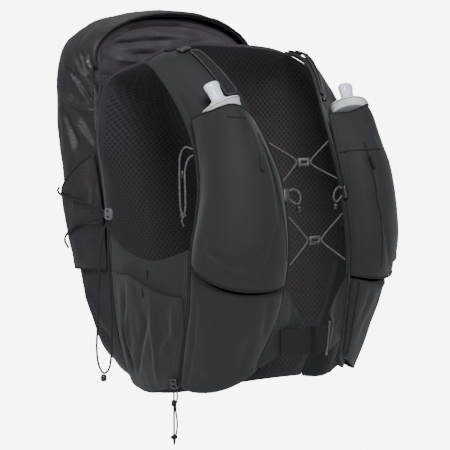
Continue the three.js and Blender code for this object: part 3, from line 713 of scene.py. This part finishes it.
    def fold(self, mesh: bpy.types.Mesh, edge_tree: KDTree) -> None:
        """Moves the points along folds and crumples, and stores their distance to the edge.

        Args:
            mesh: The dense mesh.
            edge_tree: Points along the piece's cut edges.
        """
        distances = []
        moved = []
        scale = Vector(self.stretch) * (1000 / self.spacing)
        for vertex in mesh.vertices:
            place = vertex.co.copy()
            gap = edge_tree.find(place)[2]
            distances.append(gap)
            normal = vertex.normal
            if normal.dot(self.outward.direction(place)) < 0:
                normal = -normal
            free = min(1.0, gap / 0.006)
            sample = Vector(a * b for a, b in zip(place, scale))
            lift = self.crumple * MM * (noise.turbulence(sample, 3, self.sharp) - 0.45 * self.sharp)
            lift += sum(fold.lift(place, normal) for fold in self.folds)
            moved.append(sum((pull.shift(place) for pull in self.pulls), place + normal * lift * free))
        for vertex, place in zip(mesh.vertices, moved):
            vertex.co = place
        layer = mesh.attributes.new("edge", "FLOAT", "POINT")
        layer.data.foreach_set("value", distances)
        mesh.update()

    def drape(self, points: Sequence[Point], raise_by: float = 0.2) -> list[Vector]:
        """Lays a line of points on the outer side.

        Args:
            points: The line in millimetres, near the cloth.
            raise_by: How far it stands off the cloth, in millimetres.

        Returns:
            The line's points in metres.
        """
        mesh = self.piece.data
        tree = BVHTree.FromPolygons([v.co for v in mesh.vertices], [p.vertices for p in mesh.polygons])
        line = []
        for place in smooth_path(points, 10):
            outward = self.outward.direction(place).normalized()
            hit = tree.ray_cast(place + outward * 0.03, -outward, 0.06)
            spot = hit[0] if hit[0] is not None else tree.find_nearest(place)[0]
            line.append(spot + outward * raise_by * MM)
        return line


def turned(
    name: str, node: str, at: Point, axis: Point, profile: Sequence[tuple[float, float]], finish: Finish,
    ridges: int = 0, depth: float = 0.0, band: tuple[float, float] = (0, 0), oval: float = 1.0,
) -> bpy.types.Object:
    """A piece of revolution about an axis, with optional grip ridges.

    Args:
        name: The piece's name.
        node: The solid that it stands for.
        at: Foot of the axis in millimetres.
        axis: Direction of the axis.
        profile: Heights and radii in millimetres.
        finish: Its finish.
        ridges: How many ridges run up its side.
        depth: Their depth in millimetres.
        band: Heights between which they stand.
        oval: Width of the section in one direction as a share of the other.

    Returns:
        The piece.
    """
    shape = bmesh.new()
    verts = [shape.verts.new((radius * MM, 0, height * MM)) for height, radius in profile]
    for a, b in zip(verts, verts[1:]):
        shape.edges.new((a, b))
    bmesh.ops.spin(
        shape, geom=shape.verts[:] + shape.edges[:], cent=(0, 0, 0), axis=(0, 0, 1),
        angle=2 * math.pi, steps=96, use_merge=True,
    )
    bmesh.ops.remove_doubles(shape, verts=shape.verts, dist=1e-6)
    for vert in shape.verts:
        radius = math.hypot(vert.co.x, vert.co.y)
        if ridges and band[0] * MM <= vert.co.z <= band[1] * MM and radius > 0:
            wave = math.cos(ridges * math.atan2(vert.co.y, vert.co.x))
            share = 1 - depth * MM / radius * (0.5 - 0.5 * wave)
            vert.co.x *= share
            vert.co.y *= share
        vert.co.y *= oval
    turn = Vector((0, 0, 1)).rotation_difference(Vector(axis)).to_matrix().to_4x4()
    shape.transform(Matrix.Translation(Vector(at) * MM) @ turn)
    piece = from_bmesh(name, shape, finish)
    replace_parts(piece, node)
    return piece


# The vest's sub-assemblies


@dataclass
class BackPanel:
    """The spacer-mesh back with its folded collar."""

    collar: float = 2.2
    pulls: tuple[Pull, ...] = (
        Pull((-120, 100, -70), 40, (-2, 3, 0)),
        Pull((-122, 95, -150), 60, (-4, 6, 0)),
        Pull((128, 20, -200), 50, (3, -8, 0)),
        Pull((128, 25, -270), 50, (2, -6, 0)),
    )

    def build(self) -> None:
        """Makes the back panel and its edge binding."""
        Cloth("back_panel", LINING, crumple=0.8, spacing=70, pulls=self.pulls, piping=self.collar).build()


@dataclass
class Bag:
    """The ripstop bag, the wall in its mouth and the side stash pockets."""

    crumple: float = 3.4
    edge: float = 2.2
    pulls: tuple[Pull, ...] = (Pull((-118, 112, -18), 16, (0, -8, 0)), Pull((118, 112, -18), 16, (0, -8, 0)))
    side_folds: tuple[Fold, ...] = (
        Fold(((-120, 173, -5), (-118, 143, -32), (-116, 119, -50)), 3.4, -5.8),
        Fold(((-125, 138, 14), (-125, 119, -13), (-117, 121, -35)), 2.9, -5.5),
        Fold(((-126, 121, 7), (-117, 119, -29)), 2.6, 4.8),
        Fold(((-118, 167, 22), (-123, 130, -13), (-117, 121, -39)), 3.4, 4.8),
        Fold(((-118, 191, -35), (-117, 151, -47), (-117, 119, -55)), 3.4, 4.4),
        Fold(((-118, 186, -52), (-122, 148, -98)), 6, -4.8),
        Fold(((-120, 158, -64), (-119, 119, -97)), 5.1, 4.4),
        Fold(((-123, 149, -155), (-122, 109, -185)), 5.1, -4.4),
        Fold(((-122, 175, -200), (-120, 154, -223), (-118, 120, -238)), 4.3, -5.5),
        Fold(((-119, 141, -253), (-116, 115, -302)), 6.8, 4.8),
        Fold(((-119, 131, -269), (-113, 105, -318)), 4.3, -4.4),
    )
    top_folds: tuple[Fold, ...] = (
        Fold(((-60, 240, 20), (0, 246, 12), (70, 240, 22)), 10, -3),
        Fold(((-90, 225, -60), (-20, 244, -80), (60, 240, -70)), 12, 3),
        Fold(((-80, 205, -190), (0, 215, -170), (85, 205, -200)), 12, -3),
        Fold(((-60, 180, -265), (10, 178, -280), (70, 175, -262)), 10, 3),
        Fold(((30, 236, -110), (60, 215, -180)), 8, 2.6),
    )
    wall_folds: tuple[Fold, ...] = (
        Fold(((-96, 115, 21), (-59, 114, 25), (-16, 114, 28)), 3, -3.4),
        Fold(((-66, 114, 11), (-34, 113, 12)), 2.6, -3.6),
        Fold(((-80, 115, 38), (-44, 115, 45), (15, 115, 45)), 4, -2.8),
        Fold(((-44, 114, 34), (30, 114, 32)), 5, 2.8),
        Fold(((-90, 115, 5), (-60, 114, 2)), 3, 2.8),
    )

    def build(self) -> None:
        """Makes the shell, the wall and both pockets."""
        left = tuple(Fold(tuple(mirrored(f.points, "left")), f.width, f.height) for f in self.side_folds)
        shell = Cloth(
            "bag_shell", SHELL, Outward.BAG, crumple=self.crumple, spacing=75, stretch=(0.9, 1.9, 0.7), sharp=True,
            folds=self.side_folds + left + self.top_folds, pulls=self.pulls, piping=self.edge, piping_finish=TAPE, wall=3.6,
        ).build()
        Cloth(
            "bag_front_wall", LID_PAINTED_LIGHTER, Outward.FRONT, levels=4, crumple=3.2, spacing=46, stretch=(0.5, 1, 1.5), sharp=True,
            grow=(1.05, 1, 1.07),
            folds=self.wall_folds,
        ).build()
        for side in SIDES:
            Cloth(
                f"stash_pocket_{side}", SHELL, Outward.BAG, crumple=2.2, spacing=24, stretch=(1, 1.8, 0.6),
                piping=1.8, piping_finish=TAPE, wall=2.0,
            ).build()
            seam = mirrored([(-124, 98, -188), (-128, 121, -207), (-126, 147, -222)], side)
            tube(f"bag_seam_{side}", shell.drape(seam), 1.2, SEAM)


@dataclass
class FrontPanels:
    """Front panels with their straps, lower pockets and flask pockets."""

    binding: float = 1.9
    panel_folds: tuple[Fold, ...] = (
        Fold(((-113, -20, -30), (-113, -39, -54), (-114, -50, -72)), 5, 1.2),
        Fold(((-107, -4, -1), (-98, -25, -22), (-89, -41, -41)), 6, -1.2),
    )
    pocket_folds: tuple[Fold, ...] = (
        Fold(((-73, -119, -92), (-72, -135, -132), (-71, -140, -167)), 2.55, -1.66),
        Fold(((-132, -109, -209), (-114, -124, -223), (-91, -135, -226)), 3.4, -1.66),
        Fold(((-136, -98, -197), (-124, -116, -213), (-105, -132, -217)), 3.4, 1.56),
        Fold(((-84, -107, -67), (-85, -127, -102)), 4.25, 1.46),
        Fold(((-136, -91, -182), (-132, -110, -203)), 3.4, -1.46),
        Fold(((-77, -141, -167), (-87, -142, -204), (-97, -132, -226)), 2.55, -1.87),
        Fold(((-104, -92, -52), (-98, -95, -50), (-84, -98, -56)), 2.04, -1.66),
    )
    lower_folds: tuple[Fold, ...] = (
        Fold(((-128, -89, -229), (-117, -107, -243), (-88, -124, -247)), 3.4, 1.46),
        Fold(((-129, -75, -246), (-124, -62, -300), (-119, -45, -340)), 3.4, -1.66),
        Fold(((-75, -128, -245), (-71, -112, -289)), 4.25, -1.66),
        Fold(((-121, -96, -254), (-117, -80, -298), (-111, -68, -337)), 7.65, 2.08),
        Fold(((-105, -117, -243), (-86, -111, -287), (-85, -93, -326)), 7.65, -1.87),
    )
    corner: Pull = Pull((45, -86, -67), 24, (0, -1, 12))
    pocket_pulls: tuple[Pull, ...] = (
        Pull((-122, -56, -70), 22, (0, 0, 11)),
        Pull((-98, -97, -58), 22, (0, -3, 5)),
    )
    zip_left: tuple[Point, ...] = (
        (70, -112, -88), (73, -122, -97), (74, -134, -127), (75, -141, -171), (78, -141, -208), (80, -138, -222),
    )
    seam_left: tuple[Point, ...] = ((50, -106, -97), (57, -110, -96), (71, -120, -95), (90, -116, -96))
    seam_right: tuple[Point, ...] = ((-103, -94, -60), (-94, -99, -62), (-84, -101, -62))
    zip_right: tuple[Point, ...] = (
        (-74, -108, -76), (-73, -119, -92), (-70, -134, -132), (-62, -135, -172), (-58, -132, -205),
    )

    def build(self) -> None:
        """Makes both sides; the left is the mirror image apart from its zip."""
        for side in SIDES:
            folds = {
                key: tuple(Fold(tuple(mirrored(f.points, side)), f.width, f.height) for f in rows)
                for key, rows in (("panel", self.panel_folds), ("pocket", self.pocket_folds), ("lower", self.lower_folds))
            }
            Cloth(
                f"front_panel_{side}", PANEL, crumple=0.9, spacing=60, folds=folds["panel"],
                piping=self.binding, wall=2.4,
            ).build()
            pulls = self.pocket_pulls if side == "right" else [p.other_side() for p in self.pocket_pulls[1:]] + [self.corner]
            pocket = Cloth(
                f"flask_pocket_{side}", POCKET, crumple=1.2, spacing=55, stretch=(1, 1, 0.6),
                folds=folds["pocket"], pulls=pulls, piping=1.6, piping_finish=POCKET_EDGE,
            ).build()
            Cloth(
                f"lower_pocket_{side}", POCKET, crumple=1.8, spacing=50, stretch=(1.2, 1.2, 0.6),
                folds=folds["lower"], piping=1.6, piping_finish=POCKET_EDGE, wall=1.5,
            ).build()
            lines = {"right": {"zip": self.zip_right, "seam": self.seam_right}}
            lines["left"] = {"zip": self.zip_left, "seam": self.seam_left}
            for name, line in lines[side].items():
                tube(f"pocket_{name}_{side}", pocket.drape(line), 1.3, SEAM)


@dataclass
class SidePanels:
    """Stretch panels under the arms with their slit pockets."""

    folds: tuple[Fold, ...] = (
        Fold(((-139, 33, -257), (-130, 54, -293), (-122, 41, -339)), 4.5, -3.2),
        Fold(((-138, -9, -275), (-132, -9, -307), (-125, -4, -340)), 3.6, 3.2),
        Fold(((-134, -38, -268), (-131, -33, -289), (-131, -13, -312)), 3.6, 3),
        Fold(((-139, -4, -276), (-135, 13, -304), (-124, 33, -341)), 4, -3.5),
        Fold(((-135, 37, -283), (-129, 38, -313)), 3.6, 2.8),
        Fold(((-134, -38, -260), (-137, -7, -285)), 4.5, -2.2),
    )
    slit: tuple[Pull, ...] = (
        Pull((-136, 24, -252), 30, (0, 0, 20)),
        Pull((-136, -14, -256), 26, (0, 0, 12)),
        Pull((-132, -46, -260), 14, (0, 0, 4)),
        Pull((-131, -50, -285), 26, (2, -6, 0)),
        Pull((-127, -48, -325), 26, (2, -6, 0)),
    )
    tacks: tuple[tuple[Point, ...], ...] = (
        ((-137, 0, -221), (-137, 0, -226), (-137, 0, -231)),
        ((-137, 2, -240), (-137, 2, -245), (-137, 2, -250)),
    )
    wing_folds: tuple[Fold, ...] = (
        Fold(((-131, 68, -219), (-126, 69, -262), (-122, 60, -330)), 4, -1.6),
        Fold(((-135, 41, -223), (-136, 12, -224), (-133, -20, -228)), 4, -1.2),
    )

    def build(self) -> None:
        """Makes the panels and pockets of both sides."""
        for side in SIDES:
            both = [
                tuple(Fold(tuple(mirrored(f.points, side)), f.width, f.height) for f in rows)
                for rows in (self.wing_folds, self.folds)
            ]
            slit = self.slit if side == "right" else [p.other_side() for p in self.slit]
            wing = Cloth(
                f"side_wing_{side}", PANEL, crumple=1.0, spacing=45, folds=both[0], piping=1.7, wall=2.4,
            ).build()
            pouch = Cloth(
                f"side_pocket_{side}", PANEL, crumple=2.6, spacing=40, stretch=(1, 1.1, 0.5), folds=both[1],
                pulls=slit, piping=1.7,
            ).build()
            for cloth, tack in zip((wing, pouch), self.tacks):
                tube(f"{cloth.node}_tack", cloth.drape(mirrored(tack, side)), 1.6, SEAM)


@dataclass
class Flasks:
    """Soft flasks with ridged caps and bite valves."""

    foot: Point = (-91.3, -75.4, -55.7)
    valve_foot: Point = (-94.0, -69.8, -43.0)
    axis: Point = (-0.19, 0.45, 0.87)
    cap_profile: tuple[tuple[float, float], ...] = (
        (0, 0.01), (0, 18.5), (0.6, 19.6), (6.4, 20.4), (7.4, 21.4), (9.4, 21.6), (10.2, 21), (10.4, 20), (9.8, 19.4),
        (10.2, 18.4), (11.2, 17.4), (12, 14), (12.3, 11), (14.6, 10.2), (15, 9.4), (15, 0.01),
    )
    # Radius and height of each painted shade ring on the cap.
    groove_shade_rings: tuple[tuple[float, float], ...] = ((21.7, 8.2), (19.7, 9.9), (17.2, 11.2))
    valve_profile: tuple[tuple[float, float], ...] = (
        (0, 0.01), (0, 7.2), (1.4, 7.8), (2.4, 8.2), (3, 7.6), (12, 7.9), (15, 8.6), (18, 9), (20.2, 8.4),
        (21, 7), (20.6, 5.6), (20.4, 0.01),
    )

    def build(self) -> None:
        """Makes both flasks, caps and valves."""
        for side in SIDES:
            foot, top, axis = mirrored((self.foot, self.valve_foot, self.axis), side)
            turned(
                f"cap_{side}", f"flask_cap_{side}", foot, axis, self.cap_profile, CAP,
                ridges=32, depth=1.1, band=(1.0, 7.0),
            )
            turned(f"valve_{side}", f"bite_valve_{side}", top, axis, self.valve_profile, VALVE, oval=0.82)
            Cloth(f"flask_{side}", FILM, crumple=0.8, spacing=30, held="").build()
            turn = Vector((0, 0, 1)).rotation_difference(Vector(axis))
            # Painted shade: a thin dark ring at each of the cap's grooves.
            for k, (radius, height) in enumerate(self.groove_shade_rings):
                angles = [2 * math.pi * i / 64 for i in range(64)]
                ring = [Vector((radius * math.cos(a), radius * math.sin(a), height)) for a in angles]
                tube(f"cap_groove_shade_{side}_{k}", [(Vector(foot) + turn @ p) * MM for p in ring], 0.8, GROOVE_SHADE, True)
            log.info("flask on the %s", side)


@dataclass
class Lacing:
    """Rails, crossed laces, hooks and cord locks between the front edges."""

    rail: tuple[Point, ...] = (
        (-45.8, -88.5, -82.8), (-43.4, -100.3, -106.5), (-42, -107.5, -123.5), (-41.5, -116.1, -157.8),
        (-41.6, -120.8, -191.8), (-43.3, -120.3, -216.1), (-44.2, -119.4, -227.7),
    )
    upper: tuple[Point, ...] = (
        (-42.6, -90.2, -86.2), (-11.7, -97.5, -104.4), (-10.2, -97.5, -107), (-11.7, -97.5, -109.6),
        (-38.9, -108.1, -125.2),
    )
    lower: tuple[Point, ...] = (
        (-38.5, -117, -162.9), (-11.7, -115, -186.4), (-10.2, -115, -189), (-11.7, -115, -191.6),
        (-39.9, -120.5, -212),
    )
    lock_loop: tuple[Point, ...] = (
        (-38.2, -116.6, -135.7), (-34, -117.6, -133.7), (-27, -118.6, -136.7), (-24, -118.6, -143.7),
        (-27, -118.6, -149.2), (-33, -117.6, -147.7), (-38.2, -116.6, -143.7),
    )
    loop_length: float = 0.04

    def build(self) -> None:
        """Makes the cords and the hardware on them."""
        for side in SIDES:
            for base, points, diameter, finish in (
                ("lace_rail", self.rail, 3, BLACK_CORD), ("lace_upper", self.upper, 1.8, CORD),
                ("lace_lower", self.lower, 1.8, CORD), ("lock_loop", self.lock_loop, 2, CORD),
            ):
                piece = tube(f"{base}_{side}_cord", smooth_path(mirrored(points, side)), diameter, finish)
                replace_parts(piece, f"{base}_{side}")
                if base == "lock_loop":
                    start = Vector(mirrored(points, side)[0]) * MM
                    bead = hardware(f"lock_bead_{side}", BEAD, 0.6)
            hardware(f"lace_lock_{side}", PLASTIC, 0.9)
            log.info("lacing on the %s", side)
        for name in ("lace_hook_upper", "lace_hook_lower"):
            hardware(name, METAL, 0.5)


@dataclass
class Straps:
    """Load lifters, shoulder tabs, buckles, zip pulls and the waist strap."""

    def build(self) -> None:
        """Makes the straps and what is on them."""
        for side in SIDES:
            Cloth(f"shoulder_tab_{side}", TAPE, levels=3, crumple=0.2, wall=2.0).build()
            Cloth(
                f"lifter_strap_{side}", TAPE, crumple=0.2, piping=1.7, piping_finish=LIFTER_EDGE,
            ).build()
            hardware(f"lifter_buckle_{side}", PLASTIC, 0.6)
            hardware(f"lifter_bead_{side}", BEAD, 0.5)
            hardware(f"zip_pull_{side}", TAPE, 0.5)
            hardware(f"side_buckle_{side}", PALE_PLASTIC, 0.7)
        Cloth("waist_strap", WAIST_TAPE, levels=3, crumple=0.5, spacing=30, wall=2.2).build()
        hardware("waist_bar", METAL, 0.3)
        for side in SIDES:
            Cloth(
                f"waist_gusset_{side}", PANEL, levels=3, crumple=1.6, spacing=22, stretch=(1.4, 1, 0.6),
                piping=1.3, wall=1.5,
            ).build()


def knot(name: str, at: Point, size: float, finish: Finish) -> bpy.types.Object:
    """A small overhand knot as a closed trefoil of cord.

    Args:
        name: The piece's name.
        at: Its middle in millimetres.
        size: Its half height in millimetres.
        finish: The cord's finish.

    Returns:
        The piece.
    """
    line = []
    for k in range(48):
        t = 2 * math.pi * k / 48
        x, y = math.sin(t) + 2 * math.sin(2 * t), math.cos(t) - 2 * math.cos(2 * t)
        line.append((Vector(at) + Vector((x, -math.sin(3 * t) * 1.2, y)) * (size / 3)) * MM)
    return tube(name, line, size * 0.75, finish, True)


@dataclass
class HangingCords:
    """Compression cords and the loops and tails that hang on the wearer's right."""

    side_right: tuple[Point, ...] = (
        (-107.2, 211.3, -144.1), (-120.4, 193.4, -147.3), (-129.1, 168.8, -151.4), (-131.7, 140.5, -154.4),
        (-134, 81.5, -163), (-134, 80.4, -166), (-134, 81.5, -169), (-132.2, 134.1, -181.5),
        (-129.8, 158.7, -192.8), (-120.9, 179.1, -203.8), (-107.2, 192.5, -214.3),
    )
    side_left: tuple[Point, ...] = (
        (107.5, 208.8, -143.8), (120.6, 189.5, -147), (129.2, 163.3, -151.2), (131.7, 133.4, -154.4),
        (134, 81.5, -163), (134, 80.4, -166), (134, 81.5, -169), (132.2, 130.1, -181.5),
        (129.8, 156.4, -192.7), (120.9, 177.8, -203.7), (107.3, 191.8, -214.2),
    )
    loop: tuple[Point, ...] = (
        (-134, 74.5, -173.4), (-138, 76, -185), (-141, 78, -205), (-142, 80, -250), (-142, 83, -290),
        (-142, 85, -318), (-142, 81, -335), (-142, 72, -342), (-142, 62, -336), (-142, 57, -318),
        (-142, 56, -290), (-142, 58, -250), (-141, 63, -205), (-138, 67, -185), (-134, 69.5, -173.4),
    )
    pole: tuple[Point, ...] = (
        (-119.5, -58.8, -92), (-124.5, -52, -90), (-126, -46, -98), (-126.5, -45, -112),
        (-126.5, -45.5, -140), (-126.1, -47, -156), (-125.5, -49.5, -160), (-124.9, -52, -156),
        (-124.7, -52.5, -140), (-124.5, -52, -112), (-122.5, -56, -101), (-120.2, -59.8, -98),
    )
    tail: tuple[Point, ...] = ((-125.6, -49.8, -160), (-126.4, -48.6, -166), (-125.2, -50.4, -172))
    hem: tuple[Point, ...] = (
        (-125.9, -33.7, -346.4), (-125.5, -33.2, -355.9), (-124.4, -31.8, -363.9), (-123.9, -31.2, -384.9),
        (-124.3, -31.6, -405.9),
    )

    def build(self) -> None:
        """Makes the cords with their beads and buckles."""
        for side, points in (("right", self.side_right), ("left", self.side_left)):
            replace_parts(tube(f"side_cord_{side}_line", smooth_path(points), 2.6, BLACK_CORD), f"side_cord_{side}")
        for base, points, diameter, length, far, bead, finish in (
            ("side_loop_right", self.loop, 2.4, 0.357, "object", "side_bead_right", BLACK_CORD),
            ("pole_cord_right", self.pole, 2.0, 0.152, "object", "pole_stopper_right", CORD),
            ("hem_cord_right", self.hem, 2.0, 0.06, "bare", "hem_bead_right", BLACK_CORD),
        ):
            piece = tube(base + "_line", smooth_path(points), diameter, finish)
            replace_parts(piece, base)
            diameter * MM
            hardware(bead, BEAD, 0.5)
        second = [(x + 2.4 * k, y - 2.4 * k, z) for k, (x, y, z) in zip((1, 1, 0.5, 1), self.hem)]
        tube("hem_cord_right_strand", smooth_path([*second, self.hem[4]]), 1.9, BLACK_CORD)
        knot("hem_cord_right_knot", (-124.1, -31.4, -398), 3.0, BLACK_CORD)
        knot("pole_cord_right_knot", (-125.6, -49.8, -160.5), 2.6, CORD)
        tube("pole_cord_right_tail", smooth_path(self.tail), 1.6, CORD)
        hardware("hem_buckle_right", PLASTIC, 0.6)


@dataclass
class Studio:
    """Pale floor, soft lights and the camera at the photograph's angle."""

    target: Point = (0.0, 0.0325, -0.183)
    distance: float = 1.57
    azimuth: float = -40.0
    elevation: float = 5.0
    lens: float = 110.16
    floor: float = -1.4
    ambient: float = 0.45
    backdrop: float = 7.5

    def direction(self) -> Vector:
        """From the target to the camera."""
        a, e = math.radians(self.azimuth), math.radians(self.elevation)
        return Vector((math.sin(a) * math.cos(e), -math.cos(a) * math.cos(e), math.sin(e)))

    def lamp(self, name: str, place: Point, size: float, power: float) -> None:
        """Adds one soft square light that faces the vest."""
        data = bpy.data.lights.new(name, "AREA")
        data.size = size
        data.energy = power
        lamp = bpy.data.objects.new(name, data)
        bpy.context.scene.collection.objects.link(lamp)
        lamp.location = place
        lamp.rotation_euler = (Vector(place) - Vector(self.target)).to_track_quat("Z", "Y").to_euler()

    def build(self) -> None:
        """Sets the floor, the surroundings, the lights and the camera."""
        shape = bmesh.new()
        bmesh.ops.create_grid(shape, x_segments=1, y_segments=1, size=2.4)
        shape.transform(Matrix.Translation((0, 0, self.floor)))
        mesh = bpy.data.meshes.new("floor")
        shape.to_mesh(mesh)
        shape.free()
        floor = bpy.data.objects.new("floor", mesh)
        bpy.context.scene.collection.objects.link(floor)
        paint = Look("floor_paint")
        paint.shader.inputs["Emission Color"].default_value = (1, 1, 1, 1)
        mesh.materials.append(paint.surface(paint.blend(paint.noise(2), (0.9, 0.9, 0.9), (0.92, 0.92, 0.92)), 0.9, emission_strength=0.3))
        world = bpy.data.worlds.new("surroundings")
        world.use_nodes = True
        tree = world.node_tree
        sky = tree.nodes["Background"]
        sky.inputs["Color"].default_value = (1, 1, 1, 1)
        seen = tree.nodes.new("ShaderNodeLightPath").outputs["Is Camera Ray"]
        strength = tree.nodes.new("ShaderNodeMapRange")
        strength.inputs["To Min"].default_value = self.ambient
        strength.inputs["To Max"].default_value = self.backdrop
        tree.links.new(seen, strength.inputs["Value"])
        tree.links.new(strength.outputs["Result"], sky.inputs["Strength"])
        bpy.context.scene.world = world
        self.lamp("key", (-1.3, -1.75, 1.25), 0.9, 150)
        self.lamp("fill", (1.3, -2.2, 0.5), 1.4, 14)
        self.lamp("side", (-2.2, 0.5, 1.2), 0.6, 34)
        self.lamp("top", (0.5, 0.9, 1.7), 1.2, 5)
        camera = bpy.data.objects.new("camera", bpy.data.cameras.new("camera"))
        bpy.context.scene.collection.objects.link(camera)
        camera.data.lens = self.lens
        camera.data.sensor_width = 36
        camera.data.sensor_fit = "HORIZONTAL"
        camera.data.clip_end = 100
        camera.location = Vector(self.target) + self.direction() * self.distance
        camera.rotation_euler = self.direction().to_track_quat("Z", "Y").to_euler()
        bpy.context.scene.camera = camera


POCKET_EDGE = Braid("pocket_edge", "pocket", tint(12, 13, 16))


def main() -> None:
    """Builds the vest in order."""
    logging.basicConfig(level=logging.INFO, format="%(message)s")
    assemblies = (Studio(), HangingCords(), BackPanel(), Bag(), FrontPanels(), SidePanels(), Flasks(), Lacing(), Straps())
    for assembly in assemblies:
        assembly.build()
        log.info("%s is made", type(assembly).__name__)
    bpy.context.view_layer.update()


if __name__ == "__main__":
    main()
